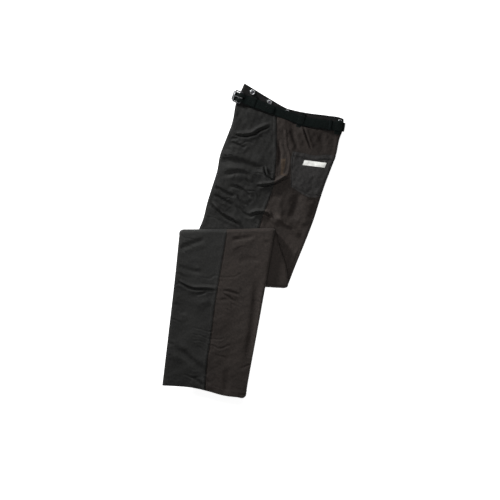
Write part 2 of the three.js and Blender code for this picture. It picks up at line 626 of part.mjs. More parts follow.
function addSlider() {
  const y0 = SLIDER_Y - SLIDER_LENGTH / 2;
  const y1 = SLIDER_Y + SLIDER_LENGTH / 2;
  const plate = box(0.5, 3, y0, y1, ZIP_LOW + TAPE + SEAM_GAP, ZIP_HIGH - TAPE - SEAM_GAP);
  const lug = box(-1.8, 1, SLIDER_Y - 1.5, SLIDER_Y + 1.5, ZIP_MIDDLE - 0.7, ZIP_MIDDLE + 0.7);
  addPiece('zipper_slider_front', plate.add(lug), DARK_METAL, FLY);
  addPiece('zipper_slider_back', box(5.6, 7.4, y0, y1, ZIP_LOW, ZIP_HIGH), DARK_METAL, FLY);
  const pullLow = ZIP_MIDDLE - 0.6;
  const pullHigh = ZIP_MIDDLE + 0.6;
  const head = toSolid(new THREE.CylinderGeometry(1.5, 1.5, pullHigh - pullLow, 16)
    .rotateX(Math.PI / 2).translate(PULL_X, SLIDER_Y, ZIP_MIDDLE));
  const blade = box(PULL_X - 1.2, PULL_X + 1.2, SLIDER_Y - PULL_LENGTH, SLIDER_Y, pullLow, pullHigh);
  addPiece('zipper_pull', head.add(blade), BRIGHT_METAL, FLY);
}

// Flat hook and bar that close the band above the zipper.
function addHookAndBar() {
  const y0 = 26;
  const y1 = 38;
  const hookLow = NEAR_LOW.waist - BAND_EXTRA + BAND + SEAM_GAP;
  const hook = box(-16, 3, y0, y1, hookLow, hookLow + 1)
    .add(box(2, 3.2, y0 + 3, y1 - 3, ZIP_MIDDLE, hookLow + 1));
  addPiece('waist_hook', hook, BRIGHT_METAL, FLY);
  const barHigh = FAR_HIGH.waist + BAND_EXTRA - BAND - SEAM_GAP;
  addPiece('waist_bar', box(-16, -2, y0, y1, barHigh - 1, barHigh), BRIGHT_METAL, FLY);
}

// ---- the garment -----------------------------------------------------------------------

addLegs();
addWaist();
addPockets();
addTag();
addBelt();
addLoops();
addStuds();
addTapes();
addTeeth();
addSlider();
addHookAndBar();

// The origin is the middle of the footprint, on the surface that the garment lies on.
garment.updateMatrixWorld(true);
const extent = new THREE.Box3().setFromObject(garment, true);
const middle = extent.getCenter(new THREE.Vector3());
garment.position.set(-middle.x, -middle.y, -extent.min.z);

export default garment;
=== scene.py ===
"""Folded officials' trousers: cloth, webbing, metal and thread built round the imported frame.

Plan coordinates are millimetres in the pattern's own plan frame; row() turns them into the
frame's metres. The garment lies in three layers: thigh, knee and shin, joined by two folds.
"""

import math
import bpy
import numpy as np
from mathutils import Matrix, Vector
from mathutils.bvhtree import BVHTree


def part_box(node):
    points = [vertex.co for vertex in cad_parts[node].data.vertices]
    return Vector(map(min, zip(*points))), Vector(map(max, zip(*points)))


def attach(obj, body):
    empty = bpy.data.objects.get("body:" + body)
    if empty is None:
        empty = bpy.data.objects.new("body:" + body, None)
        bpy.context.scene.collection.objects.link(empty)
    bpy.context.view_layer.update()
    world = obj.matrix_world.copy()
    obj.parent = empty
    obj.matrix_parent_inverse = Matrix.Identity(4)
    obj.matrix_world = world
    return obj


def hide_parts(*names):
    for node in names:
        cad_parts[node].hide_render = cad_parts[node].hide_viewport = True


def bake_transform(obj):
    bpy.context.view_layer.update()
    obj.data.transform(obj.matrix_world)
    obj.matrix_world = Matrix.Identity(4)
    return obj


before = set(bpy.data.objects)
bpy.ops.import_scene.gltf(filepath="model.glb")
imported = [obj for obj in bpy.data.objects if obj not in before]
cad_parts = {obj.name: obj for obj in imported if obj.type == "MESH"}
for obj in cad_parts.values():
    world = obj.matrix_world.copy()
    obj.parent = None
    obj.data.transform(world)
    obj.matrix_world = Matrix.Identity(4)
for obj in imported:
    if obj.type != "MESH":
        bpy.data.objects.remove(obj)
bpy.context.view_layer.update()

MM = 0.001
CLOTH = 0.8          # thickness of one wall of cloth
CREASE = 9.0         # a flattened leg rounds off within this distance of its crease
FOLD_SHARE = 0.6     # how far a fold bulges, as a share of its half height
FOLD_CORNER = 14.0   # a fold's corners round off within this distance

# ---- the plan, as in the CAD -------------------------------------------------------------

KNEE_FOLD = {"at": (91.0, -116.2), "angle": -3.5, "axis_z": 14.3}
SHIN_FOLD = {"at": (-67.6, 20.7), "angle": 1.8, "axis_z": 29.1}

BAND_TOP = [(-22.5, 408.8), (12, 387.6), (49, 365.2), (80, 347.2), (88, 343.2), (98, 340.4), (140.4, 331.5),
            (195, 324.6), (229, 318.6), (236, 315.5)]
BAND_SEAM = [(-46, 352), (-3.4, 343.2), (28.6, 330.7), (84, 314.2), (111.8, 301.7),
             (130, 295.7), (177.6, 286.7), (211, 283.2), (231.5, 281)]
BAND_FRONT = [(-22.5, 408.8), (-38, 373), (-46, 352)]
BAND_BACK = [(236, 315.5), (235, 290.7), (231.5, 281)]
BELT_LINE = [(-29.7, 370), (88, 329), (133.5, 310), (213, 298)]
HEM = [(-235.3, -376), (-194.2, -378.3), (-154.7, -382), (-118.3, -390.5), (-72.8, -402.7),
       (-42, -406.4), (-24.2, -407.7), (-20.6, -405), (-17.5, -391)]

# Heights of the walls, outer and inner, in each layer: thigh, knee, shin.
LEVELS = {
    "left": {"thigh": (13.8, 7.2), "knee": (14.8, 21.4), "shin": (43.4, 36.8), "waist": (23.4, 15.4)},
    "right": {"thigh": (0.0, 6.6), "knee": (28.6, 22.0), "shin": (29.6, 36.2), "waist": (5.2, 13.2)},
}
SEAT_RISE = (60, 190)
HEM_WIDTH = 18.0     # from the hem's edge to its row of stitching


def fold_y(fold, x):
    return fold["at"][1] + (x - fold["at"][0]) * math.tan(math.radians(fold["angle"]))


THIGH_FRONT = [(-46, 352), (-54.6, 305.5), (-70.2, 263.9), (-85.8, 222.3), (-93.6, 180.7),
               (-106.6, 139.1), (-119.6, 97.5), (-130, 55.9), (-145.6, 18),
               (-178, fold_y(KNEE_FOLD, -178))]
THIGH_BACK = [(231.5, 281), (226.2, 268.1), (215.8, 222.3), (200.2, 180.7), (184.6, 139.1),
              (171.6, 97.5), (158.6, 55.9), (143, 14.3), (109.2, -68.9), (91, fold_y(KNEE_FOLD, 91))]
KNEE_BACK = [(91, fold_y(KNEE_FOLD, 91)), (89, -84), (63.4, 4), (59, fold_y(SHIN_FOLD, 59))]
KNEE_FRONT = [(-178, fold_y(KNEE_FOLD, -178)), (-192, fold_y(SHIN_FOLD, -192))]
SHIN_FRONT = [(-191, fold_y(SHIN_FOLD, -191)), (-203, -100), (-218, -230), (-235.3, -376)]
SHIN_BACK = [(57, fold_y(SHIN_FOLD, 57)), (32, -120.4), (-17.5, -391)]
THIGH_SEAM = [(57.2, 450), (57.2, 175.5), (52.8, 140.4), (33.3, 85.8), (-35, -117), (-60, -190)]
KNEE_SEAM = [(-25, -170), (-35, -117), (-67.6, 29), (-78, 80)]
SHIN_SEAM = [(-62, 80), (-67.6, 27.3), (-85, -81.1), (-100.1, -172.1), (-109.2, -248.3),
             (-118.3, -308.1), (-124.3, -384.5), (-126, -450)]
RISE_FRONT = [(73.7, 450), (-6, 180), (-4, 145), (18, 92)]
RISE_BACK = [(180, 450), (167, 330), (140, 215), (112, 150), (60, 100), (18, 92)]

hem_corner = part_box("left_front_shin")[0]
hem_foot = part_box("left_back_shin")[0]
SHIFT = np.array([hem_corner.x / MM + 235.3, hem_foot.y / MM + 407.7, 0.0])


def row(points):
    """Plan millimetres to the frame's metres."""
    return (np.asarray(points, float) + SHIFT) * MM


# ---- lines and noise ---------------------------------------------------------------------

def lengths_along(points):
    steps = np.linalg.norm(np.diff(points, axis=0), axis=1)
    return np.concatenate([[0], np.cumsum(steps)])


def sample(points, shares, smooth=True):
    """Points at these shares of a line's length; smooth draws a curve through its corners."""
    points = np.asarray(points, float)
    along = lengths_along(points)
    at = np.asarray(shares, float) * along[-1]
    if not smooth:
        return np.stack([np.interp(at, along, points[:, k]) for k in range(points.shape[1])], -1)
    tangent = np.gradient(points, along, axis=0)
    i = np.clip(np.searchsorted(along, at, side="right") - 1, 0, len(points) - 2)
    span = (along[i + 1] - along[i])[..., None]
    t = ((at - along[i])[..., None]) / span
    h00 = 2 * t**3 - 3 * t**2 + 1
    h10 = t**3 - 2 * t**2 + t
    h01 = 3 * t**2 - 2 * t**3
    h11 = t**3 - t**2
    return (h00 * points[i] + h10 * span * tangent[i]
            + h01 * points[i + 1] + h11 * span * tangent[i + 1])


def across_at(line, y):
    """X where a line that runs mostly along Y passes the height y."""
    line = sample(line, np.linspace(0, 1, 200))
    order = np.argsort(line[:, 1])
    return np.interp(y, line[order, 1], line[order, 0])


def smoothstep(low, high, x):
    """0 at low and 1 at high, eased at both; low may lie above high."""
    t = np.clip((x - low) / (high - low), 0, 1)
    return t * t * (3 - 2 * t)


def ripple(x, y, seed, wavelength, count=9):
    """Soft random waves, about 1 high, from a few sine trains at seeded angles."""
    rng = np.random.default_rng(seed)
    total = np.zeros_like(x)
    for _ in range(count):
        angle = rng.uniform(0, math.pi)
        length = wavelength * rng.uniform(0.6, 1.7)
        phase = rng.uniform(0, 2 * math.pi)
        bend = 0.35 * np.sin((x * math.sin(angle) - y * math.cos(angle)) / (0.7 * length) + phase)
        total += np.sin(2 * math.pi * (x * math.cos(angle) + y * math.sin(angle)) / length + phase + bend)
    return total / math.sqrt(count)


# ---- wrinkles ----------------------------------------------------------------------------

# (points, half width, depth, kind): a valley dips between two soft ridges, a ridge stands up,
# and a tuck steps down on the side to the right of its direction.
SEAT_GAIN = 3.9
SHIN_GAIN = 3.0
SEAT_HOLLOW = 5.0    # the seat dips between the waistband and the rear pocket
DIP_LIMIT = 4.3
SEAT_WRINKLES = [
    ([(-52, 276), (-26, 273), (0, 277), (16, 287), (49, 300)], 4.5, 1.9, "tuck"),
    ([(-57, 266), (-39, 264)], 3.5, 1.0, "valley"),
    ([(-60, 256), (-39, 248), (-18, 240)], 4.0, 1.0, "valley"),
    ([(-88, 212), (-34, 202), (26, 181)], 10.0, 2.3, "valley"),
    ([(-78, 170), (-31, 178), (-5, 168)], 7.0, 1.4, "valley"),
    ([(-18, 160), (-5, 147)], 3.0, 0.9, "valley"),
    ([(-101, 142), (-75, 126), (-47, 113)], 4.5, 1.5, "valley"),
    ([(-63, 143), (-34, 136), (-18, 124), (-5, 110)], 4.0, 1.5, "valley"),
    ([(-104, 121), (-73, 103), (-52, 92)], 4.0, 1.3, "valley"),
    ([(-42, 121), (-29, 100), (-16, 90)], 3.5, 1.2, "valley"),
    ([(-47, 95), (-34, 79), (-18, 66), (10, 64)], 4.0, 1.6, "valley"),
    ([(-8, 69), (16, 73), (34, 72), (50, 58)], 3.6, 2.6, "tuck"),
    ([(-112, 100), (-78, 66), (-52, 53), (-32, 38)], 4.5, 2.2, "tuck"),
    ([(60, 66), (91, 40), (125, 10)], 6.0, 2.4, "ridge"),
    ([(48, 40), (58, 52), (70, 84), (64, 118)], 9.0, 1.3, "ridge"),
    ([(129, 298), (136, 280), (142, 262), (154, 233)], 2.6, 1.5, "valley"),
    ([(100, 292), (108, 262), (118, 238)], 7.0, 1.0, "valley"),
    ([(176, 276), (180, 250), (184, 226)], 8.0, 0.9, "valley"),
    ([(8, 142), (51, 147), (94, 169)], 3.6, 2.6, "tuck"),
    ([(29, 193), (36, 170), (56, 153)], 3.2, 1.9, "tuck"),
    ([(64, 260), (70, 225), (66, 190)], 5.0, 1.1, "valley"),
    ([(120, 128), (112, 92), (96, 50)], 12.0, 1.2, "valley"),
    ([(150, 105), (140, 70), (128, 34)], 9.0, 0.9, "ridge"),
    ([(122, -20), (104, -64), (97, -86)], 2.6, 0.9, "valley"),
    ([(84, -101), (96, -95), (108, -86)], 2.2, 2.4, "valley"),
]
SHIN_WRINKLES = [
    ([(-196, -24), (-159, -9), (-122, 3)], 7.0, 1.0, "valley"),
    ([(-197, -66), (-164, -77), (-130, -84)], 6.0, 0.8, "valley"),
    ([(-200, -103), (-158, -124), (-120, -126), (-91, -129)], 4.0, 1.7, "tuck"),
    ([(-147, -141), (-118, -133)], 3.5, 1.0, "valley"),
    ([(-79, -129), (-58, -133), (-34, -143)], 4.0, 1.2, "valley"),
    ([(-79, -136), (-46, -160)], 3.6, 1.0, "valley"),
    ([(-150, -170), (-112, -150)], 8.0, 0.7, "ridge"),
    ([(-204, -276), (-166, -306), (-128, -342)], 9.0, 1.5, "valley"),
    ([(-155, -356), (-128, -378)], 5.0, 0.9, "valley"),
    ([(-128, -352), (-112, -372)], 4.0, 0.6, "valley"),
    ([(-57, 2), (-26, 6), (6, 13)], 6.0, 1.1, "valley"),
    ([(-60, -22), (-30, -14), (0, -8)], 6.0, 0.5, "ridge"),
    ([(-40, -60), (-8, -48), (20, -50)], 8.0, 0.5, "valley"),
    ([(14, -90), (2, -207), (-16, -324)], 10.0, 1.3, "valley"),
    ([(-66, -330), (-70, -398)], 9.0, 0.6, "valley"),
]


def fine_creases(x, y, seed, spacing, slant, depth):
    """Thin wandering valleys that mostly run across the leg, and come and go."""
    turn = math.radians(slant)
    across = (y * math.cos(turn) - x * math.sin(turn)) / spacing
    wander = 0.55 * ripple(x, y, seed, 5.5 * spacing, 7)
    field = across + wander + 0.16 * ripple(x, y, seed + 1, 1.8 * spacing, 7)
    lines = np.abs(((field + 0.5) % 1.0) - 0.5)
    presence = smoothstep(-0.1, 0.9, ripple(x, y, seed + 2, 3.6 * spacing, 7))
    valley = np.exp(-(lines / 0.085) ** 2) - 0.45 * np.exp(-((lines - 0.21) / 0.10) ** 2)
    return -depth * valley * presence


def stroke_height(x, y, points, half_width, depth, kind):
    line = sample(points, np.linspace(0, 1, 28))
    reach = 4 * half_width
    near = ((x > line[:, 0].min() - reach) & (x < line[:, 0].max() + reach)
            & (y > line[:, 1].min() - reach) & (y < line[:, 1].max() + reach))
    height = np.zeros_like(x)
    if not near.any():
        return height
    px, py = x[near], y[near]
    best = np.full(px.shape, 1e9)
    signed = np.zeros_like(px)
    share = np.zeros_like(px)
    for k in range(len(line) - 1):
        (ax, ay), (bx, by) = line[k], line[k + 1]
        dx, dy = bx - ax, by - ay
        size = dx * dx + dy * dy
        t = np.clip(((px - ax) * dx + (py - ay) * dy) / size, 0, 1)
        ex, ey = px - ax - t * dx, py - ay - t * dy
        distance = np.hypot(ex, ey)
        closer = distance < best
        best = np.where(closer, distance, best)
        side = np.sign(dx * ey - dy * ex)
        signed = np.where(closer, side * distance, signed)
        share = np.where(closer, (k + t) / (len(line) - 1), share)
    fade = np.clip(np.minimum(share, 1 - share) * 5, 0, 1)
    fade = fade * fade * (3 - 2 * fade)
    u = best / half_width
    if kind == "valley":
        shape = 0.75 * np.exp(-(u / 2.4) ** 2) - 1.5 * np.exp(-u**2)
    elif kind == "ridge":
        shape = np.exp(-(u / 1.3) ** 2)
    else:
        v = signed / half_width
        shape = 0.95 * np.exp(-((v - 1.15) / 0.95) ** 2) - 1.0 * np.exp(-((v + 0.25) / 0.5) ** 2)
        shape += 0.35 * np.exp(-((v + 1.9) / 1.2) ** 2)
    height[near] = depth * shape * fade
    return height


def wrinkles(x, y, strokes):
    total = np.zeros_like(x)
    for stroke in strokes:
        total += stroke_height(x, y, *stroke)
    return total


# ---- mesh helpers ------------------------------------------------------------------------

def grid_normals(points):
    along = np.gradient(points, axis=0)
    across = np.gradient(points, axis=1)
    normal = np.cross(across, along)
    return normal / np.maximum(np.linalg.norm(normal, axis=2, keepdims=True), 1e-12)


def grid_faces(rows, columns, start=0, flip=False):
    i, j = np.meshgrid(np.arange(rows - 1), np.arange(columns - 1), indexing="ij")
    a = start + (i * columns + j).ravel()
    quads = np.stack([a, a + 1, a + columns + 1, a + columns], -1)
    return quads[:, ::-1] if flip else quads


def set_uv(mesh, uv):
    layer = mesh.uv_layers.new(name="cloth")
    index = np.zeros(len(mesh.loops), np.int32)
    mesh.loops.foreach_get("vertex_index", index)
    layer.data.foreach_set("uv", np.asarray(uv, np.float32)[index].ravel())


def build_mesh(name, points, faces, uv=None, smooth=True):
    mesh = bpy.data.meshes.new(name)
    mesh.from_pydata([tuple(p) for p in points], [], [tuple(int(i) for i in f) for f in faces])
    if uv is not None:
        set_uv(mesh, uv)
    if smooth:
        mesh.polygons.foreach_set("use_smooth", np.ones(len(mesh.polygons), bool))
    mesh.update()
    piece = bpy.data.objects.new(name, mesh)
    bpy.context.scene.collection.objects.link(piece)
    return piece


UP = (0.0, 0.0, 1.0)
DOWN = (0.0, 0.0, -1.0)


def cloth_shell(name, outer, thickness, outward):
    """Closed thin shell under a grid of points; outward, one direction or a grid, is where they look."""
    rows, columns = outer.shape[:2]
    normal = grid_normals(outer)
    facing = np.sign((normal * np.asarray(outward)).sum(2).mean())
    normal = normal * facing
    inner = outer - normal * thickness
    count = rows * columns
    flip = facing < 0
    faces = [grid_faces(rows, columns, 0, flip), grid_faces(rows, columns, count, not flip)]
    ring = np.concatenate([
        np.arange(columns), np.arange(1, rows) * columns + columns - 1,
        (rows - 1) * columns + np.arange(columns - 2, -1, -1), np.arange(rows - 2, 0, -1) * columns])
    after = np.roll(ring, -1)
    rim = np.stack([ring, ring + count, after + count, after], -1)
    faces.append(rim[:, ::-1] if flip else rim)
    points = np.concatenate([outer.reshape(-1, 3), inner.reshape(-1, 3)])
    across = np.cumsum(np.linalg.norm(np.diff(outer, axis=1), axis=2), axis=1)
    along = np.cumsum(np.linalg.norm(np.diff(outer, axis=0), axis=2), axis=0)
    u = np.concatenate([np.zeros((rows, 1)), across], axis=1)
    v = np.concatenate([np.zeros((1, columns)), along], axis=0)
    uv = np.concatenate([np.stack([u, v], -1).reshape(-1, 2)] * 2)
    piece = build_mesh(name, points, np.concatenate(faces), uv)
    piece.data.set_sharp_from_angle(angle=math.radians(60))
    return piece


def give(piece, material, slot_name, body=None, *nodes):
    """Set a piece's material, the body it rides on and the CAD nodes it stands for; slot_name is not used.
    """
    piece.data.materials.clear()
    piece.data.materials.append(material)
    if nodes:
        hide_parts(*nodes)
    if body:
        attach(piece, body)
    return piece


def blend_by_share(piece):
    """Bake the piece's transform into its points; it is not bent across the fold."""
    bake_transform(piece)


# ---- materials ---------------------------------------------------------------------------

def new_material(name):
    material = bpy.data.materials.new(name)
    material.use_nodes = True
    tree = material.node_tree
    shader = tree.nodes["Principled BSDF"]
    return material, tree, shader


def add_node(tree, kind, inputs=None, **settings):
    node = tree.nodes.new(kind)
    for key, value in settings.items():
        setattr(node, key, value)
    for key, value in (inputs or {}).items():
        node.inputs[key].default_value = value
    return node


def mix_colours(tree, factor, dark, light):
    ramp = add_node(tree, "ShaderNodeValToRGB")
    ramp.color_ramp.elements[0].color = (*dark, 1)
    ramp.color_ramp.elements[1].color = (*light, 1)
    tree.links.new(factor, ramp.inputs["Fac"])
    return ramp


def twill(name, colour, spread=0.34, rough=0.72, sheen=0.02, thread=0.0007, bump=0.3, shine=0.09):
    """Woven cloth: diagonal twill lines, crossed by threads, with soft colour drift."""
    material, tree, shader = new_material(name)
    coords = add_node(tree, "ShaderNodeTexCoord")
    uv = coords.outputs["UV"]
    place = coords.outputs["Object"]
    wave_scale = 2 * math.pi / (20 * thread)
    warp = add_node(tree, "ShaderNodeTexWave", {"Scale": wave_scale * 0.7, "Distortion": 0.6},
                    bands_direction="DIAGONAL")
    weft = add_node(tree, "ShaderNodeTexWave", {"Scale": wave_scale, "Distortion": 0.4},
                    bands_direction="Y")
    drift = add_node(tree, "ShaderNodeTexNoise", {"Scale": 14.0, "Detail": 5.0, "Roughness": 0.6})
    fuzz = add_node(tree, "ShaderNodeTexNoise", {"Scale": 900.0, "Detail": 3.0})
    mottle = add_node(tree, "ShaderNodeTexNoise", {"Scale": 210.0, "Detail": 4.0, "Roughness": 0.65})
    for node, source in ((warp, uv), (weft, uv), (drift, place), (fuzz, place), (mottle, place)):
        tree.links.new(source, node.inputs["Vector"])
    tone = add_node(tree, "ShaderNodeMix", {"Factor": 0.55}, data_type="FLOAT")
    tree.links.new(drift.outputs["Fac"], tone.inputs["A"])
    tree.links.new(mottle.outputs["Fac"], tone.inputs["B"])
    low = tuple(c * (1 - spread) for c in colour)
    high = tuple(c * (1 + spread) for c in colour)
    ramp = mix_colours(tree, tone.outputs["Result"], low, high)
    ramp.color_ramp.elements[0].position = 0.36
    ramp.color_ramp.elements[1].position = 0.64
    threads = add_node(tree, "ShaderNodeMix", {"Factor": 0.3}, data_type="RGBA", blend_type="MULTIPLY")
    tree.links.new(ramp.outputs["Color"], threads.inputs["A"])
    tree.links.new(warp.outputs["Color"], threads.inputs["B"])
    tree.links.new(threads.outputs["Result"], shader.inputs["Base Color"])
    height = add_node(tree, "ShaderNodeMath", operation="ADD")
    tree.links.new(warp.outputs["Fac"], height.inputs[0])
    tree.links.new(weft.outputs["Fac"], height.inputs[1])
    total = add_node(tree, "ShaderNodeMath", {1: 0.6}, operation="MULTIPLY_ADD")
    tree.links.new(fuzz.outputs["Fac"], total.inputs[0])
    tree.links.new(height.outputs[0], total.inputs[2])
    relief = add_node(tree, "ShaderNodeBump", {"Strength": bump, "Distance": 0.00025})
    tree.links.new(total.outputs[0], relief.inputs["Height"])
    tree.links.new(relief.outputs["Normal"], shader.inputs["Normal"])
    roughness = add_node(tree, "ShaderNodeMapRange", {"To Min": rough - 0.08, "To Max": rough + 0.08})
    tree.links.new(drift.outputs["Fac"], roughness.inputs["Value"])
    tree.links.new(roughness.outputs["Result"], shader.inputs["Roughness"])
    shader.inputs["Sheen Weight"].default_value = sheen
    shader.inputs["Sheen Roughness"].default_value = 0.45
    shader.inputs["Specular IOR Level"].default_value = shine
    return material


def metal(name, colour, rough, scratch=0.12):
    material, tree, shader = new_material(name)
    coords = add_node(tree, "ShaderNodeTexCoord")
    grain = add_node(tree, "ShaderNodeTexNoise", {"Scale": 700.0, "Detail": 6.0})
    blotch = add_node(tree, "ShaderNodeTexNoise", {"Scale": 90.0, "Detail": 3.0})
    for node in (grain, blotch):
        tree.links.new(coords.outputs["Object"], node.inputs["Vector"])
    ramp = mix_colours(tree, blotch.outputs["Fac"], tuple(c * 0.7 for c in colour), colour)
    tree.links.new(ramp.outputs["Color"], shader.inputs["Base Color"])
    roughness = add_node(tree, "ShaderNodeMapRange", {"To Min": rough, "To Max": rough + scratch})
    tree.links.new(grain.outputs["Fac"], roughness.inputs["Value"])
    tree.links.new(roughness.outputs["Result"], shader.inputs["Roughness"])
    relief = add_node(tree, "ShaderNodeBump", {"Strength": 0.15, "Distance": 0.0001})
    tree.links.new(grain.outputs["Fac"], relief.inputs["Height"])
    tree.links.new(relief.outputs["Normal"], shader.inputs["Normal"])
    shader.inputs["Metallic"].default_value = 1.0
    return material


COOL = twill("cool_twill", (0.0160, 0.0160, 0.0153))
WARM = twill("warm_twill", (0.0232, 0.0188, 0.0166))
BAND_MATERIAL = twill("band_twill", (0.0088, 0.0088, 0.0086), bump=0.3)
LINING = twill("lining_cloth", (0.0300, 0.0320, 0.0340), thread=0.0005)
WEBBING = twill("belt_webbing", (0.0038, 0.0060, 0.0056), spread=0.35, rough=0.7, thread=0.0016, bump=0.7,
                shine=0.04)
THREAD = twill("thread", (0.0060, 0.0060, 0.0060), thread=0.0003)
POCKET = twill("pocket_twill", (0.0262, 0.0250, 0.0246))
TAN = twill("facing_twill", (0.0420, 0.0300, 0.0215))
# Near black for the holes in the belt's tail: painted shade inside the holes.
HOLE_SHADE = twill("painted_hole_shade", (0.0030, 0.0030, 0.0030), bump=0.1)
PALE = twill("tag_thread", (0.80, 0.80, 0.77), spread=0.06, sheen=0.2, thread=0.0005, bump=0.5)
BRIGHT = metal("bright_plate", (0.42, 0.43, 0.44), 0.3)
STEEL = metal("worn_steel", (0.17, 0.175, 0.18), 0.36)
DARK = metal("dark_plate", (0.10, 0.10, 0.11), 0.38)
DULL = metal("painted_metal", (0.010, 0.013, 0.013), 0.55)


# ---- legs --------------------------------------------------------------------------------

# Rows and columns of each leg's grids; the left leg is the one that shows.
LEG_ROWS = {"left": {"thigh": 215, "arc": 15, "knee": 10, "shin": 190},
            "right": {"thigh": 80, "arc": 13, "knee": 8, "shin": 70}}
OUTER_COLUMNS = {"left": 96, "right": 40}
INNER_COLUMNS = 20


def crowded(count, pull=0.7):
    """Shares from 0 to 1 that lie closer together at both ends."""
    t = np.linspace(0, 1, count)
    return t - pull * np.sin(2 * math.pi * t) / (2 * math.pi)


def wall_columns(side):
    """For each column: 1 on the outer wall or 0 on the inner, and its share from crease to seam."""
    outer = crowded(OUTER_COLUMNS[side], 0.55)[::-1]
    inner = crowded(INNER_COLUMNS)[1:]
    is_outer = np.concatenate([np.ones(len(outer)), np.zeros(len(inner))])
    share = np.concatenate([outer, inner])
    return is_outer, share


def coons(front, back, top, foot, q, f):
    """Plan point at share q from front crease to back crease and share f down the section."""
    ends = [sample(line, q) for line in (top, foot)]
    sides = [sample(line, f) for line in (front, back)]
    q, f = q[..., None], f[..., None]
    corners = [np.asarray(p, float) for p in (front[0], back[0], front[-1], back[-1])]
    lofted = (1 - q) * sides[0] + q * sides[1] + (1 - f) * ends[0] + f * ends[1]
    plane = ((1 - q) * (1 - f) * corners[0] + q * (1 - f) * corners[1]
             + (1 - q) * f * corners[2] + q * f * corners[3])
    return lofted - plane


def line_between(a, b):
    return [a, ((a[0] + b[0]) / 2, (a[1] + b[1]) / 2), b]


SECTIONS = {
    "thigh": (THIGH_FRONT, THIGH_BACK, BAND_SEAM, line_between(THIGH_FRONT[-1], THIGH_BACK[-1])),
    "knee": (KNEE_FRONT, KNEE_BACK, line_between(KNEE_FRONT[0], KNEE_BACK[0]),
             line_between(KNEE_FRONT[-1], KNEE_BACK[-1])),
    "shin": (SHIN_FRONT, SHIN_BACK, line_between(SHIN_FRONT[0], SHIN_BACK[0]), HEM),
}
SEAMS = {"thigh": THIGH_SEAM, "knee": KNEE_SEAM, "shin": SHIN_SEAM}


def crossings(patch, line, f):
    """Where a lengthwise line crosses a patch's rows: trial shares, their gaps, the first one past it."""
    q = np.linspace(0, 1, 161)
    plan = coons(*patch, *np.meshgrid(q, f))
    gap = plan[..., 0] - across_at(line, plan[..., 1])
    return q, gap, np.clip(np.argmax(gap > 0, axis=1), 1, len(q) - 1)


def crossing_share(section, line, f):
    """Share q at which a lengthwise line crosses each row of a section."""
    q, gap, first = crossings(SECTIONS[section], line, f)
    rows = np.arange(len(f))
    g0, g1 = gap[rows, first - 1], gap[rows, first]
    t = np.clip(g0 / np.where(np.abs(g0 - g1) < 1e-9, -1e-9, g0 - g1), 0, 1)
    return q[first - 1] + t * (q[1] - q[0])


def rounded_walls(outer, inner, wall, from_crease, reach):
    """Heights of an outer and an inner wall that round off into each other at their creases."""
    rounding = np.sqrt(1 - (1 - np.minimum(from_crease / reach, 1)) ** 2)
    return (outer + inner) / 2 + (outer - inner) / 2 * np.where(wall > 0, rounding, -rounding)


def section_grid(side, panel, section, f):
    """Plan points, heights and wall flags of one panel of a section, before any wrinkles."""
    front, back, top, foot = SECTIONS[section]
    is_outer, share = wall_columns(side)
    seam = crossing_share(section, SEAMS[section], f)[:, None]
    limit = seam
    if section == "thigh":
        rise = crossing_share(section, RISE_FRONT if panel == "front" else RISE_BACK, f)[:, None]
        plan_y = coons(front, back, top, foot, seam, np.broadcast_to(f[:, None], seam.shape))[..., 1]
        body = smoothstep(92, 97, plan_y)
        crotch = np.minimum(rise, seam) if panel == "front" else np.maximum(rise, seam)
        limit = seam + (crotch - seam) * body
    edge = np.where(is_outer > 0, seam, limit)
    q = share * edge if panel == "front" else 1 - share * (1 - edge)
    ff = np.broadcast_to(f[:, None], q.shape)
    plan = coons(front, back, top, foot, q, ff)
    width = np.linalg.norm(coons(front, back, top, foot, np.ones_like(q), ff)
                           - coons(front, back, top, foot, np.zeros_like(q), ff), axis=2)
    from_crease = np.minimum(q, 1 - q) * width
    outer, inner = LEVELS[side][section]
    if section == "thigh":
        waist_outer, waist_inner = LEVELS[side]["waist"]
        lift = smoothstep(SEAT_RISE[0], SEAT_RISE[1], plan[..., 1])
        outer = outer + (waist_outer - outer) * lift
        inner = inner + (waist_inner - inner) * lift
    wall = is_outer[None, :] * np.ones_like(q)
    return plan, rounded_walls(outer, inner, wall, from_crease, CREASE), wall, from_crease


def fold_points(side, panel, fold, upper, lower):
    """Cloth round a fold, from the end of the upper section's rows to the lower section's."""
    above, z_above, _, from_crease = section_grid(side, panel, upper, np.array([1.0]))
    below, _, _, _ = section_grid(side, panel, lower, np.array([0.0]))
    angles = np.linspace(0, math.pi, LEG_ROWS[side]["arc"] + 2)[1:-1]
    turn = math.radians(fold["angle"])
    outward = np.array([math.sin(turn), -math.cos(turn)])
    if fold is SHIN_FOLD:
        outward = -outward
    radius = fold["axis_z"] - z_above
    share = (angles / math.pi)[:, None]
    plan = above * (1 - share[..., None]) + below * share[..., None]
    bulge = FOLD_SHARE * radius * np.sin(angles)[:, None]
    if fold is SHIN_FOLD:
        towards_front = np.clip((-60 - plan[..., 0]) / 130, 0, 1)
        bulge = bulge * (1 + 0.45 * towards_front)
    corner = 1 - np.minimum(from_crease / FOLD_CORNER, 1)
    bulge = bulge * (0.35 + 0.65 * np.sqrt(1 - corner**2))
    plan = plan + bulge[..., None] * outward
    z = fold["axis_z"] - radius * np.cos(angles)[:, None]
    return plan, z, np.broadcast_to(share, z.shape)


def seam_relief(x, y, seam):
    """The felled seam stands up a little between its two rows of stitching."""
    offset = x - across_at(seam, y)
    raised = smoothstep(-8.5, -6.6, offset) * (1 - smoothstep(-0.6, 0.2, offset))
    rows = np.exp(-((offset + 1.6) / 0.8) ** 2) + np.exp(-((offset + 6.6) / 0.8) ** 2)
    sunk = np.exp(-((offset - 0.9) / 1.4) ** 2)
    return 1.3 * raised - 0.5 * rows - 1.2 * sunk


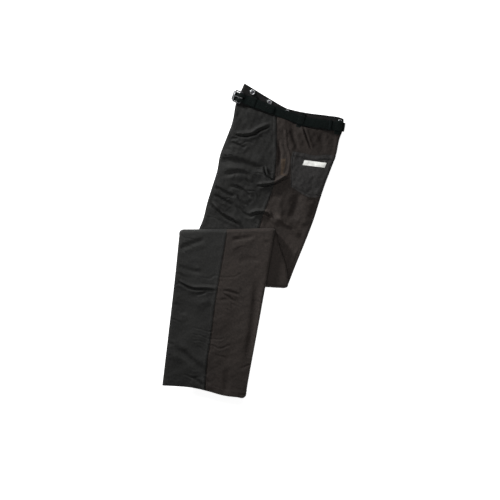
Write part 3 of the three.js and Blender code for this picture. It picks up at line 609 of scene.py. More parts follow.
def limited(height):
    """Dips level off before they reach the wall below."""
    return np.where(height < 0, -DIP_LIMIT * (1 - np.exp(np.minimum(height, 0) / DIP_LIMIT)), height)


def thigh_surface(x, y, from_crease):
    rest = smoothstep(18, 45, y)
    right_of_stack = smoothstep(64, 84, x + 0.2 * y)
    free = np.maximum(rest, 0.45 * right_of_stack)
    edge = smoothstep(0, 14, from_crease)
    belly = 2.2 * smoothstep(60, 150, y) * smoothstep(0, 70, from_crease)
    puckers = 1.0 * ripple(x, y, 11, 62) + 0.45 * ripple(x, y, 12, 26) + 0.13 * ripple(x, y, 13, 10)
    in_front = 1 - smoothstep(-18, 26, x - across_at(THIGH_SEAM, y))
    fine = fine_creases(x, y, 201, 17, -14, 1.7) * smoothstep(300, 240, y) * (0.10 + 0.90 * in_front)
    fine = fine + 0.35 * fine_creases(x, y, 231, 9, -24, 1.4) * in_front
    hollow = -SEAT_HOLLOW * smoothstep(294, 236, y) * smoothstep(112, 222, y) * smoothstep(92, 136, x)
    height = limited(SEAT_GAIN * wrinkles(x, y, SEAT_WRINKLES) + puckers + belly + fine + hollow)
    seam = seam_relief(x, y, THIGH_SEAM)
    return height * free * (0.25 + 0.75 * edge) + seam * free + np.minimum(seam, 0) * (1 - free)


def hem_relief(x, y):
    """The turned hem is thicker, and its stitching draws the cloth in."""
    line = sample(HEM[:-2], np.linspace(0, 1, 60))
    above = y - np.interp(x, line[:, 0], line[:, 1])
    turned_up = 1 - smoothstep(HEM_WIDTH - 1, HEM_WIDTH + 1.5, above)
    return 0.5 * turned_up - 0.4 * np.exp(-((above - HEM_WIDTH) / 0.9) ** 2)


def shin_surface(x, y, from_crease):
    edge = smoothstep(0, 14, from_crease)
    soft_top = smoothstep(20, 4, y)
    puckers = 0.55 * ripple(x, y, 21, 70) + 0.20 * ripple(x, y, 22, 22) + 0.08 * ripple(x, y, 23, 9)
    fine = fine_creases(x, y, 301, 26, -12, 1.0) + 0.12 * fine_creases(x, y, 331, 13, 14, 1.0)
    height = limited(SHIN_GAIN * wrinkles(x, y, SHIN_WRINKLES) + puckers + fine)
    relief = seam_relief(x, y, SHIN_SEAM) + hem_relief(x, y)
    return height * (0.3 + 0.7 * edge) * (0.4 + 0.6 * soft_top) + relief


def raised(side, section, plan, z, wall, from_crease):
    """Heights with wrinkles on whichever wall shows from above."""
    x, y = plan[..., 0], plan[..., 1]
    if side == "left" and section == "thigh":
        extra = thigh_surface(x, y, from_crease)
    elif side == "left" and section == "shin":
        extra = shin_surface(x, y, from_crease)
    elif side == "left":
        extra = -np.minimum(seam_relief(x, y, KNEE_SEAM), 0)
    else:
        return z
    return z + extra * wall


def stack_parts(parts):
    return [np.concatenate([p[k] for p in parts], axis=0) for k in range(len(parts[0]))]


def stretch(side, panel, section, start, end, share):
    """Points, heights and fold shares of a section between two shares of its length."""
    f = np.linspace(start, end, LEG_ROWS[side][section])
    plan, z, wall, from_crease = section_grid(side, panel, section, f)
    z = raised(side, section, plan, z, wall, from_crease)
    return plan, z, np.full_like(z, share)


def upper_part(side, panel):
    """Waist seam to the middle of the knee layer."""
    return stack_parts([stretch(side, panel, "thigh", 0, 1, 0.0),
                        fold_points(side, panel, KNEE_FOLD, "thigh", "knee"),
                        stretch(side, panel, "knee", 0, 0.5, 1.0)])


def lower_part(side, panel):
    """Middle of the knee layer to the hem."""
    return stack_parts([stretch(side, panel, "knee", 0.5, 1, 0.0),
                        fold_points(side, panel, SHIN_FOLD, "knee", "shin"),
                        stretch(side, panel, "shin", 0, 1, 1.0)])


def leg_panel(side, panel, part):
    build = upper_part if part == "upper" else lower_part
    plan, z, share = build(side, panel)
    points = row(np.concatenate([plan, z[..., None]], axis=2))
    outward = np.zeros_like(points)
    sign = 1.0 if side == "left" else -1.0
    level_rows = slice(20, 60) if part == "upper" else slice(-60, -20)
    outward[level_rows, 5:OUTER_COLUMNS[side] // 2, 2] = sign
    piece = cloth_shell(f"{side}_{panel}_panel_{part}", points, CLOTH * MM, outward)
    sections = ("thigh", "knee") if part == "upper" else ("shin",)
    nodes = [f"{side}_{panel}_{section}" for section in sections]
    give(piece, COOL if panel == "front" else WARM, f"{panel}_cloth", None, *nodes)
    if part == "upper":
        blend_by_share(piece)
    else:
        blend_by_share(piece)
    return piece


# ---- laying things on the cloth ----------------------------------------------------------

class Surface:
    """The upper side of a finished piece, for laying stitches and patches on it."""

    def __init__(self, piece):
        points = [vertex.co.copy() for vertex in piece.data.vertices]
        faces = [tuple(polygon.vertices) for polygon in piece.data.polygons]
        self.tree = BVHTree.FromPolygons(points, faces)

    def under(self, plan):
        """Points and normals, in metres, straight under or over each plan point."""
        spots = np.asarray(plan, float).reshape(-1, 2)
        found = np.zeros((len(spots), 3))
        normals = np.zeros((len(spots), 3))
        for k, (x, y) in enumerate(spots):
            start = row([x, y, 90.0])
            hit, normal, _, _ = self.tree.ray_cast(Vector(start), Vector((0, 0, -1)))
            if hit is None or hit.z < 8 * MM:
                hit, normal, _, _ = self.tree.find_nearest(Vector(row([x, y, 22.0])))
            found[k] = hit
            normals[k] = normal if normal.z > 0 else -normal
        shape = np.asarray(plan).shape[:-1] + (3,)
        return found.reshape(shape), normals.reshape(shape)


def evenly(line, pitch, smooth=True):
    line = np.asarray(line, float)
    count = max(2, int(round(lengths_along(line)[-1] / pitch)) + 1)
    return sample(line, np.linspace(0, 1, count), smooth)


def stitch_mesh(centres, tangents, normals, length, radius):
    """Short tapered lengths of thread, one for each centre."""
    side = np.cross(normals, tangents)
    stations = [(-0.5, 0.25), (-0.3, 0.9), (0.3, 0.9), (0.5, 0.25)]
    around = 6
    points, faces = [], []
    for c, t, n, s in zip(centres, tangents, normals, side):
        first = len(points)
        for place, swell in stations:
            for k in range(around):
                angle = 2 * math.pi * k / around
                ring = math.cos(angle) * s + math.sin(angle) * n
                points.append(c + t * place * length + ring * radius * swell)
        for i in range(len(stations) - 1):
            for k in range(around):
                a = first + i * around + k
                b = first + i * around + (k + 1) % around
                faces.append((a, b, b + around, a + around))
        faces.append(tuple(first + k for k in reversed(range(around))))
        last = first + (len(stations) - 1) * around
        faces.append(tuple(last + k for k in range(around)))
    return points, faces


def stitch_row(name, lines, surface, body, slot_name, pitch=3.2, length=2.4, radius=0.28):
    """Rows of stitches along plan lines, on a surface, as one piece."""
    centres, tangents, normals = [], [], []
    for line in lines:
        plan = evenly(line, pitch)
        spots, up = surface.under(plan)
        along = np.gradient(spots, axis=0)
        along /= np.maximum(np.linalg.norm(along, axis=1, keepdims=True), 1e-9)
        up = up - (up * along).sum(1, keepdims=True) * along
        up /= np.maximum(np.linalg.norm(up, axis=1, keepdims=True), 1e-9)
        centres.append(spots + up * 0.12 * MM)
        tangents.append(along)
        normals.append(up)
    points, faces = stitch_mesh(np.concatenate(centres), np.concatenate(tangents),
                                np.concatenate(normals), length * MM, radius * MM)
    return give(build_mesh(name, points, faces), THREAD, slot_name, body)


def offset_plan(line, distance, count=60):
    """A line moved sideways, to its left for a positive distance."""
    points = sample(line, np.linspace(0, 1, count))
    along = np.gradient(points, axis=0)
    along /= np.linalg.norm(along, axis=1, keepdims=True)
    return points + distance * np.stack([-along[:, 1], along[:, 0]], 1)


def laid_patch(name, sides, surface, lift, thickness, size, puff=None):
    """A patch of cloth between four plan lines (front, back, top, foot), lying on a surface."""
    rows, columns = size
    q, f = np.meshgrid(crowded(columns, 0.5), crowded(rows, 0.5))
    plan = coons(*sides, q, f)
    spots, up = surface.under(plan)
    height = (lift + thickness) * np.ones_like(q)
    if puff is not None:
        height = height + puff(plan[..., 0], plan[..., 1], q, f)
    points = spots + up * (height * MM)[..., None]
    piece = cloth_shell(name, points, thickness * MM, UP)
    return piece


def flat_patch(name, sides, z, thickness, size, seed):
    """A patch of hidden cloth at one height, with a slight ripple."""
    rows, columns = size
    q, f = np.meshgrid(np.linspace(0, 1, columns), np.linspace(0, 1, rows))
    plan = coons(*sides, q, f)
    height = z + 0.12 * ripple(plan[..., 0], plan[..., 1], seed, 50)
    points = row(np.concatenate([plan, height[..., None]], 2))
    piece = cloth_shell(name, points, thickness * MM, UP)
    return piece


# ---- waistband ---------------------------------------------------------------------------

BAND = 2.0
BAND_LEVELS = {"left": (23.9, 14.9), "right": (4.7, 13.7)}
BAND_CREASE = 6.0
BAND_LENGTH = 260.0
BAND_ROWS = 40
BAND_COLUMNS = 110   # across the outer wall
BAND_TURN = 18       # across each turned end


def rise_share(line, f):
    """Share along the band at which the body opening's line crosses each of its rows."""
    q, _, first = crossings((BAND_FRONT, BAND_BACK, BAND_TOP, BAND_SEAM), line, f)
    return q[first]


def waistband(side):
    f = np.linspace(0, 1, BAND_ROWS)
    front = rise_share(RISE_FRONT, f)[:, None]
    back = rise_share(RISE_BACK, f)[:, None]
    inner = np.linspace(0, 1, BAND_TURN)[1:]
    q = np.concatenate([front * inner[::-1], np.ones((BAND_ROWS, 1)) * crowded(BAND_COLUMNS, 0.6),
                        1 - (1 - back) * inner], axis=1)
    wall = np.concatenate([np.zeros(len(inner)), np.ones(BAND_COLUMNS), np.zeros(len(inner))])
    ff = np.broadcast_to(f[:, None], q.shape)
    plan = coons(BAND_FRONT, BAND_BACK, BAND_TOP, BAND_SEAM, q, ff)
    from_crease = np.minimum(q, 1 - q) * BAND_LENGTH
    z = rounded_walls(*BAND_LEVELS[side], wall, from_crease, BAND_CREASE)
    if side == "left":
        x, y = plan[..., 0], plan[..., 1]
        edge = smoothstep(0, 12, from_crease)
        ripples = 0.35 * ripple(x, y, 31, 46) + 0.12 * ripple(x, y, 32, 14)
        rolled = 0.5 * np.exp(-((ff - 0.03) / 0.03) ** 2) + 0.4 * np.exp(-((ff - 0.95) / 0.03) ** 2)
        z = z + wall * edge * (ripples * smoothstep(0.02, 0.2, ff) - 0.35 + rolled)
    points = row(np.concatenate([plan, z[..., None]], 2))
    outward = np.zeros_like(points)
    outward[5:-5, 30:100, 2] = 1.0 if side == "left" else -1.0
    piece = cloth_shell(f"band_{side}", points, BAND * MM, outward)
    give(piece, BAND_MATERIAL, "band_cloth", "trousers", f"waistband_{side}")
    return piece


LINING_LEVELS = {"left": 21.4, "right": 7.6}


def band_lining(side):
    inset = 4.0
    top = [(x, y - inset) for x, y in BAND_TOP]
    top[0] = (top[0][0] + inset, top[0][1])
    top[-1] = (top[-1][0] - inset, top[-1][1])
    seam = [(x, y + inset) for x, y in BAND_SEAM]
    seam[0] = (seam[0][0] + inset + 1, seam[0][1])
    seam[-1] = (seam[-1][0] - inset, seam[-1][1])
    sides = ([top[0], seam[0]], [top[-1], seam[-1]], top, seam)
    piece = flat_patch(f"curtain_{side}", sides, LINING_LEVELS[side], 0.5, (14, 60), 41)
    give(piece, LINING, "lining_cloth", "trousers", f"waistband_lining_{side}")


# ---- sweeps ------------------------------------------------------------------------------

def rounded_outline(low, high, radius, steps):
    """Points (x, y, angle) round a box with rounded corners, between its low and high corners."""
    (x0, y0), (x1, y1) = low, high
    corners = ((x1 - radius, y1 - radius), (x0 + radius, y1 - radius),
               (x0 + radius, y0 + radius), (x1 - radius, y0 + radius))
    points = []
    for quarter, (cx, cy) in enumerate(corners):
        for step in range(steps):
            angle = math.radians(90 * quarter + 90 * step / (steps - 1))
            points.append((cx + radius * math.cos(angle), cy + radius * math.sin(angle), angle))
    return np.array(points)


def rounded_section(half_width, half_height, radius, low=None):
    """Closed outline of a flat band's section; low moves its inner edge for half a band."""
    left = -half_width if low is None else low
    return rounded_outline((left, -half_height), (half_width, half_height), radius, 4)[:, :2]


def circle(half_width, half_height, steps):
    angles = np.linspace(0, 2 * math.pi, steps, endpoint=False)
    return [(half_width * math.cos(a), half_height * math.sin(a)) for a in angles]


def sweep(centres, sides, sections, closed=False):
    """Points and faces of a tube; at each centre its section lies in the side and up directions."""
    centres = np.asarray(centres, float)
    sides = np.asarray(sides, float)
    if closed:
        tangent = np.roll(centres, -1, 0) - np.roll(centres, 1, 0)
    else:
        tangent = np.gradient(centres, axis=0)
    tangent /= np.linalg.norm(tangent, axis=1, keepdims=True)
    up = np.cross(tangent, sides)
    up /= np.linalg.norm(up, axis=1, keepdims=True)
    count = len(sections[0])
    points = []
    for c, s, u, section in zip(centres, sides, up, sections):
        points.extend(c + s * a + u * b for a, b in section)
    faces = []
    last = len(centres) if closed else len(centres) - 1
    for i in range(last):
        j = (i + 1) % len(centres)
        for k in range(count):
            m = (k + 1) % count
            faces.append((i * count + k, i * count + m, j * count + m, j * count + k))
    if not closed:
        faces.append(tuple(range(count))[::-1])
        faces.append(tuple((len(centres) - 1) * count + k for k in range(count)))
    return np.array(points), faces


def joined(parts):
    """Several (points, faces) as one."""
    points, faces, start = [], [], 0
    for some, shape in parts:
        points.append(some)
        faces.extend(tuple(start + i for i in face) for face in shape)
        start += len(some)
    return np.concatenate(points), faces


def turned(parts, place):
    """Points in a local frame, moved to its place on the plan and on to metres."""
    points, faces = parts
    (x, y), tilt = place
    c, s = math.cos(math.radians(tilt)), math.sin(math.radians(tilt))
    moved = np.stack([x + c * points[:, 0] - s * points[:, 1],
                      y + s * points[:, 0] + c * points[:, 1], points[:, 2]], 1)
    return row(moved), faces


def make(name, parts, material, slot_name, body, *nodes):
    piece = build_mesh(name, *parts)
    piece.data.set_sharp_from_angle(angle=math.radians(50))
    return give(piece, material, slot_name, body, *nodes)


def plan_uv(piece, tilt):
    """Lengthwise and crosswise UVs, in metres, for a strip that lies along this angle in plan."""
    along = np.array([math.cos(tilt), math.sin(tilt)])
    points = np.array([vertex.co for vertex in piece.data.vertices])
    uv = np.stack([points[:, :2] @ along, points[:, :2] @ np.array([-along[1], along[0]])], 1)
    set_uv(piece.data, uv)


# ---- belt --------------------------------------------------------------------------------

WEBBING_HALF = 11.2
BELT_NEAR_Z = 26.3
BELT_FAR_Z = 2.3
HEEL_STATIONS = 16   # the strap's thin start, wrapped round the buckle's heel bar
BAR_Z = 27.3
ROLLER_X = -20.0
ROLLER_RADIUS = 2.3
UNDER_ROLLER = 23.7
OVER_HEEL = 31.7
TAIL_Z = 28.6
TAIL_END = 90.0
TAIL_TIP = 8.0       # the tail narrows to its tip over this length
TURN_X = -19.5
BACK_TURN = 25.0
SLOT_HALF = 2.6
EYELETS = (22.0, 47.0, 72.0)


def line_frame(a, b):
    return a, math.degrees(math.atan2(b[1] - a[1], b[0] - a[0]))


FRONT_FRAME = line_frame(BELT_LINE[0], BELT_LINE[1])
BACK_FRAME = line_frame(BELT_LINE[2], BELT_LINE[3])


def in_frame(place, x, y=0.0):
    (px, py), tilt = place
    c, s = math.cos(math.radians(tilt)), math.sin(math.radians(tilt))
    return np.array([px + c * x - s * y, py + s * x + c * y])


def four_sides(place, corners):
    """Front, back, top and foot lines between four corners: top front, top back, foot front, foot back."""
    a, b, c, d = [tuple(in_frame(place, x, y)) for x, y in corners]
    return [a, c], [b, d], [a, b], [c, d]


BELT_SAG = [(0, 0), (0, -3.2), (0, -0.7), (0, 0)]


def belt_plan(along):
    """Plan point and direction at a distance along the worn belt; it sags a little at the side."""
    corners = np.array(BELT_LINE, float) + BELT_SAG
    reach = lengths_along(corners)

    def raw(at):
        inside = np.clip(at, 0, reach[-1])
        point = np.array([np.interp(inside, reach, corners[:, k]) for k in (0, 1)])
        place = FRONT_FRAME if at < 0 else BACK_FRAME
        heading = np.array([math.cos(math.radians(place[1])), math.sin(math.radians(place[1]))])
        return point + heading * (at - inside)

    ease = 14.0
    offsets = np.linspace(-ease, ease, 9)
    point = np.mean([raw(along + d) for d in offsets], axis=0)
    heading = raw(along + ease) - raw(along - ease)
    return point, heading / np.linalg.norm(heading)


def arc(x, z, radius, start, end, count):
    """Points from one angle to another, in degrees, round a centre."""
    angles = np.radians(np.linspace(start, end, count))
    return [(x + radius * math.cos(a), z + radius * math.sin(a)) for a in angles]


def belt_stations():
    """Centre line of the whole strap: heel bar, near side, back turn, far side, front turn, tail."""
    total = lengths_along(np.array(BELT_LINE, float))[-1]
    bend = 7.0
    far_back = total + BACK_TURN - bend
    path = arc(0.0, BAR_Z, 2.35, 20, 250, 15)
    path += [(1.0, 25.2), (3.5, 25.9), (7.0, BELT_NEAR_Z)]
    path += [(x, BELT_NEAR_Z) for x in np.arange(12, total + 10, 5.0)]
    path += arc(far_back, BELT_NEAR_Z - bend, bend, 90, 0, 8)
    path += arc(far_back, BELT_FAR_Z + bend, bend, 0, -90, 8)
    path += [(x, BELT_FAR_Z) for x in np.arange(total + 10, -20, -5.0)]
    path += arc(TURN_X, BELT_FAR_Z + 4, 4, 270, 180, 7)
    path += [(TURN_X - 4.3, 10.0), (TURN_X - 4.4, 13.0), (TURN_X - 4.3, 16.0)]
    path += arc(TURN_X, UNDER_ROLLER - 4, 4, 180, 90, 7)
    path += [(-18.0, 24.1), (-16.5, 24.9), (-13.5, 27.1), (-10.0, 29.6), (-7.0, 31.2),
             (-4.0, OVER_HEEL), (2.0, OVER_HEEL), (5.0, 31.0), (9.0, 29.5), (13.0, TAIL_Z)]
    path += [(x, TAIL_Z) for x in np.arange(17, TAIL_END - TAIL_TIP, 5.0)]
    path += [(TAIL_END - TAIL_TIP + x, TAIL_Z) for x in (0, 3, 5, 6.4, 7.3, 7.8)]
    centres, sides, along = [], [], []
    for at, z in path:
        point, heading = belt_plan(at)
        centres.append([point[0], point[1], z])
        sides.append([-heading[1], heading[0], 0.0])
        along.append(at)
    return np.array(centres), np.array(sides), np.array(along)


def webbing_half_width(at, is_tail):
    if not is_tail or at < TAIL_END - TAIL_TIP:
        return WEBBING_HALF
    share = (at - (TAIL_END - TAIL_TIP)) / TAIL_TIP
    return WEBBING_HALF * (0.45 + 0.55 * math.sqrt(max(0.0, 1 - share**2)))


def belt_strap():
    centres, sides, along = belt_stations()
    turn = int(np.argmin(along))
    order = np.arange(len(along))
    is_tail = order > turn
    slotted = (order <= HEEL_STATIONS) | (is_tail & (along > -23.5) & (along < 7) & (order > turn + 6))
    parts = []
    start = 0
    for end in range(1, len(along) + 1):
        if end < len(along) and slotted[end] == slotted[start]:
            continue
        span = slice(start, min(end + 1, len(along)))
        sizes = [(webbing_half_width(along[k], is_tail[k]), 0.6 if k < HEEL_STATIONS else 1.0)
                 for k in order[span]]
        if slotted[start]:
            near = [rounded_section(w, h, 0.45, SLOT_HALF) for w, h in sizes]
            parts.append(sweep(centres[span], sides[span], near))
            points, faces = sweep(centres[span], sides[span], [section * (-1, 1) for section in near])
            parts.append((points, [face[::-1] for face in faces]))
        else:
            parts.append(sweep(centres[span], sides[span], [rounded_section(w, h, 0.6) for w, h in sizes]))
        start = end
    points, faces = joined(parts)
    piece = make("webbing_belt", (row(points), faces), WEBBING, "belt_webbing", "trousers", "belt_strap")
    plan_uv(piece, math.radians(-16))
    return piece


def ring_around(radius, section_radius, x, y, z, steps=28):
    angles = np.linspace(0, 2 * math.pi, steps, endpoint=False)
    centres = np.stack([x + radius * np.cos(angles), y + radius * np.sin(angles), z + 0 * angles], 1)
    sides = np.stack([np.cos(angles), np.sin(angles), 0 * angles], 1)
    section = circle(section_radius, section_radius * 0.7, 8)
    return sweep(centres, sides, [section] * steps, closed=True)


def belt_eyelets():
    points, faces = joined([ring_around(2.9, 0.75, *belt_plan(at)[0], TAIL_Z + 1.05) for at in EYELETS])
    make("tail_eyelets", (row(points), faces), DULL, "dark_metal", "trousers")
    # A near-black disc inside each eyelet is painted shade that stands in for the hole through the webbing.
    hole = [(0.01, TAIL_Z + 0.98), (2.4, TAIL_Z + 1.04), (2.5, TAIL_Z + 0.9)]
    points, faces = joined([lathe(hole, *belt_plan(at)[0], 20) for at in EYELETS])
    make("tail_holes", (row(points), faces), HOLE_SHADE, "belt_webbing", "trousers")


def rod(radius, y0, y1, x, z, bevel=0.4, steps=24):
    """A bar that lies along local Y, with eased ends."""
    stations = [(y0, radius - bevel), (y0 + bevel, radius), (y1 - bevel, radius), (y1, radius - bevel)]
    centres = [(x, y, z) for y, _ in stations]
    return sweep(centres, [(1.0, 0, 0)] * 4, [circle(r, r, steps) for _, r in stations])


def buckle():
    half = 14.5
    x, y, angle = rounded_outline((ROLLER_X - 0.6, -half), (0.6, half), 4.0, 7).T
    centres = np.stack([x, y, np.full_like(x, BAR_Z)], 1)
    sides = np.stack([np.cos(angle), np.sin(angle), np.zeros_like(x)], 1)
    sections = [circle(1.4 * (1.15 if abs(v) > half - 1.5 else 1.0), 1.45, 14) for v in y]
    frame_ring = sweep(centres, sides, sections, closed=True)
    make("buckle_ring", turned(frame_ring, FRONT_FRAME), DARK, "dark_metal", "trousers", "buckle_frame")
    sleeve = rod(ROLLER_RADIUS, -12.6, 12.6, ROLLER_X, BAR_Z)
    lips = joined([sleeve, rod(ROLLER_RADIUS + 0.15, -12.6, -11.6, ROLLER_X, BAR_Z, 0.2),
                   rod(ROLLER_RADIUS + 0.15, 11.6, 12.6, ROLLER_X, BAR_Z, 0.2)])
    make("roller_sleeve", turned(lips, FRONT_FRAME), STEEL, "bright_metal", "roller", "buckle_roller")
    top = BAR_Z + ROLLER_RADIUS + 1.1
    arm = [(0.8, BAR_Z + 2.2), (-1.4, BAR_Z + 2.9), (-4.0, top), (-9.0, top + 0.15), (-15.0, top + 0.1),
           (-19.0, top + 0.1), (-21.6, top), (-23.0, top - 0.5)]
    widths = [1.8, 1.8, 1.7, 1.6, 1.5, 1.4, 1.2, 0.7]
    centres = [(x, 0, z) for x, z in arm]
    sections = [rounded_section(w, 0.8 if w > 1 else 0.5, 0.45) for w in widths]
    prong = joined([sweep(centres, [(0, 1.0, 0)] * len(arm), sections),
                    prong_eye()])
    make("buckle_tongue", turned(prong, FRONT_FRAME), STEEL, "bright_metal", "prong", "buckle_prong")


def prong_eye():
    """The tongue's end, turned round the heel bar."""
    angles = np.linspace(0, 2 * math.pi, 22, endpoint=False)
    centres = np.stack([2.2 * np.cos(angles), 0 * angles, BAR_Z + 2.2 * np.sin(angles)], 1)
    count = len(angles)
    return sweep(centres, [(0, 1.0, 0)] * count, [rounded_section(1.8, 0.5, 0.3)] * count, closed=True)


def belt_slide():
    place = (tuple(in_frame(BACK_FRAME, 68.0)), BACK_FRAME[1])
    v, z, _ = rounded_outline((-13.0, 24.7), (13.0, 28.2), 1.6, 5).T
    outline = np.stack([np.zeros_like(v), v, z], 1)
    count = len(outline)
    loop = sweep(outline, [(1.0, 0, 0)] * count, [rounded_section(3.5, 0.4, 0.3)] * count, closed=True)
    make("slide_ring", turned(loop, place), DULL, "dark_metal", "belt_slide_ring", "belt_slide")


# ---- belt loops --------------------------------------------------------------------------

LOOPS = {
    "front": {"along": 34.0, "width": 8.0, "plate": 30.4, "foot": 24.7, "tab": 5.0, "low_tab": 5.0},
    "side": {"along": 40.0, "width": 15.0, "plate": 28.1, "foot": 24.7, "tab": 5.0, "low_tab": 5.0},
    "back": {"along": 90.0, "width": 18.0, "plate": 28.1, "foot": 25.9, "tab": 1.0, "low_tab": 7.0},
}
LOOP_PLATE_FAR = 0.5
LOOP_FOOT_FAR = {"front": 3.9, "side": 3.9, "back": 2.8}


def loop_place(name):
    start = dict(zip(("front", "side", "back"), lengths_along(np.array(BELT_LINE, float))))
    point, heading = belt_plan(start[name] + LOOPS[name]["along"])
    return tuple(point), math.degrees(math.atan2(heading[1], heading[0]))


def loop_path(plate, foot, tab, low_tab):
    """A loop's line across the belt: tab is how far its foot lies on the band, low_tab the lower one."""
    inner = WEBBING_HALF + 1.1
    right = [(inner + 1.9 + tab, foot), (inner + 1.2, foot), (inner + 0.5, foot + (plate - foot) * 0.2),
             (inner, foot + (plate - foot) * 0.6), (inner - 0.8, plate - (plate - foot) * 0.1),
             (inner - 2.5, plate)]
    middle = [(v, plate) for v in np.linspace(inner - 6, 6 - inner, 5)]
    left = [(-v, z) for v, z in reversed(right)]
    left[-1] = (-(inner + 1.9 + low_tab), foot - 1.0 * (low_tab > 6))
    return [*right, *middle, *left]


def belt_loop(name, side):
    spec = LOOPS[name]
    place = loop_place(name)
    if side == "left":
        path = loop_path(spec["plate"], spec["foot"], spec["tab"], spec["low_tab"])
    else:
        path = loop_path(LOOP_PLATE_FAR, LOOP_FOOT_FAR[name], 0.0, 0.0)
    centres = [(0.0, v, z) for v, z in path]
    section = rounded_section(spec["width"] / 2, 0.5, 0.35)
    strip = sweep(centres, [(1.0, 0, 0)] * len(centres), [section] * len(centres))
    piece = make(f"loop_{name}_{side}", turned(strip, place), WEBBING, "band_cloth", "trousers",
                 f"belt_loop_{name}_{side}")
    plan_uv(piece, math.radians(place[1]))


def loop_bartacks(name):
    """Dense bars of thread across a loop's feet, and two rows of topstitching down it."""
    spec = LOOPS[name]
    place = loop_place(name)
    reach = spec["width"] / 2 - 1.0
    foot_v = WEBBING_HALF + 4.5
    centres = []
    if spec["tab"] > 1:
        centres += [(x, v, spec["foot"] + 0.55) for v in (foot_v, -foot_v)
                    for x in np.arange(-reach, reach, 0.55)]
    centres += [(x, v, spec["plate"] + 0.55) for x in (-reach, reach) for v in np.arange(-9.5, 9.6, 2.7)]
    count = len(centres)
    points, faces = stitch_mesh(np.array(centres), np.array([(0.0, 1.0, 0.0)] * count),
                                np.array([UP] * count), 2.2, 0.28)
    make(f"loop_{name}_stitches", turned((np.array(points), faces), place), THREAD, "band_cloth", "trousers")


# ---- studs -------------------------------------------------------------------------------

# Plan place, height and radius of each stud.
STUDS = {"front": (-1.3, 385.3, 2.6, 7.0), "middle": (43.0, 359.5, 0.8, 6.4),
         "side": (88.9, 334.6, 0.8, 5.6), "back": (226.5, 310.0, 0.8, 5.2)}


def lathe(profile, x, y, steps=32):
    angles = np.linspace(0, 2 * math.pi, steps, endpoint=False)
    points = np.array([(x + r * math.cos(a), y + r * math.sin(a), z) for r, z in profile for a in angles])
    faces = []
    for i in range(len(profile) - 1):
        for k in range(steps):
            m = (k + 1) % steps
            faces.append((i * steps + k, i * steps + m, (i + 1) * steps + m, (i + 1) * steps + k))
    faces.append(tuple(range(steps))[::-1])
    faces.append(tuple((len(profile) - 1) * steps + k for k in range(steps)))
    return points, faces


def stud(name, side):
    x, y, height, radius = STUDS[name]
    base, up = (24.2, 1.0) if side == "left" else (4.4, -1.0)
    ring = [(0.82, 0.0), (0.97, 0.05), (1.0, 0.35), (0.96, 0.75), (0.86, 0.97), (0.75, 1.0), (0.65, 0.93),
            (0.59, 0.7), (0.58, 0.45)]
    core = [(0.59, 0.3), (0.59, 0.5), (0.43, 0.58), (0.33, 0.5), (0.28, 0.62), (0.18, 0.8), (0.08, 0.86),
            (0.006, 0.88)]
    shapes = []
    for profile in (ring, core):
        shapes.append(lathe([(r * radius, base + up * z * height) for r, z in profile], x, y))
    points, faces = joined(shapes)
    piece = make(f"stud_{name}_{side}", (row(points), faces), BRIGHT, "bright_metal", "trousers",
                 f"brace_stud_{name}_{side}")
    piece.data.materials.append(DARK)
    first_core = len(shapes[0][1])
    for polygon in piece.data.polygons:
        if polygon.index >= first_core:
            polygon.material_index = 1


# ---- pockets -----------------------------------------------------------------------------

POCKET_TOP = [(103.5, 231), (130, 227), (157, 221), (203, 222), (213.5, 219)]
POCKET_FOOT = [(98.3, 140.4), (110, 133), (122.7, 125), (143.8, 113), (156, 111.5), (176.2, 115)]
POCKET_LEFT = [(103.5, 231), (99.5, 214.5), (98.3, 180), (98.3, 140.4)]
POCKET_HEM = 13.0


def pocket_right():
    ys = np.array([219, 206, 190, 175, 160, 145, 130, 115], float)
    return [(float(across_at(THIGH_BACK, y)) - 1.1, y) for y in ys]


def pocket_puff(x, y, q, f):
    rim = smoothstep(0, 0.12, q) * smoothstep(0, 0.08, 1 - q) * smoothstep(0, 0.14, 1 - f)
    soft = 1.3 * rim * (0.6 + 0.4 * ripple(x, y, 51, 48)) + 0.25 * rim * ripple(x, y, 52, 17)
    hem = 0.8 * (1 - smoothstep(0.10, 0.125, f)) - 0.7 * np.exp(-((f - 0.115) / 0.014) ** 2)
    edge = -0.8 * np.exp(-((q - 0.045) / 0.014) ** 2) - 0.8 * np.exp(-((f - 0.955) / 0.016) ** 2)
    return soft + hem + edge


def rear_pocket(surface):
    right = pocket_right()
    sides = (POCKET_LEFT, [*right], [*POCKET_TOP[:-1], right[0]], [*POCKET_FOOT[:-1], right[-1]])
    piece = laid_patch("seat_pocket_left", sides, surface, 0.6, 1.4, (84, 80),
                       pocket_puff)
    give(piece, POCKET, "back_cloth", "trousers", "rear_pocket_left")
    top = Surface(piece)
    left = offset_plan(POCKET_LEFT, 3.0)[3:-2]
    foot = offset_plan(POCKET_FOOT, 3.0)[2:-3]
    hem_line = offset_plan(POCKET_TOP, -POCKET_HEM)[2:-4]
    hem_twin = offset_plan(POCKET_TOP, -POCKET_HEM + 4)[2:-4]
    foot_twin = offset_plan(POCKET_FOOT, 7.0)[4:-4]
    left_twin = offset_plan(POCKET_LEFT, 7.0)[6:-4]
    stitch_row("seat_pocket_stitches", [left, foot, hem_line, hem_twin, foot_twin, left_twin], top,
               "trousers", "back_cloth")
    return top


def far_pocket():
    lines = (POCKET_LEFT, [(x - 2.5, y) for x, y in pocket_right()], POCKET_TOP[:-1] + [(211, 219)],
             POCKET_FOOT[:-1] + [(174, 115)])
    q, f = np.meshgrid(np.linspace(0, 1, 24), np.linspace(0, 1, 24))
    plan = coons(*lines, q, f)
    lift = smoothstep(SEAT_RISE[0], SEAT_RISE[1], plan[..., 1])
    z = SEAT_FALL["right"] * lift - 0.9
    points = row(np.concatenate([plan, z[..., None]], 2))
    piece = cloth_shell("seat_pocket_right", points, 0.7 * MM, DOWN)
    give(piece, POCKET, "back_cloth", "trousers", "rear_pocket_right")


TAG_PLACE = ((160.0, 199.0), -7.0)


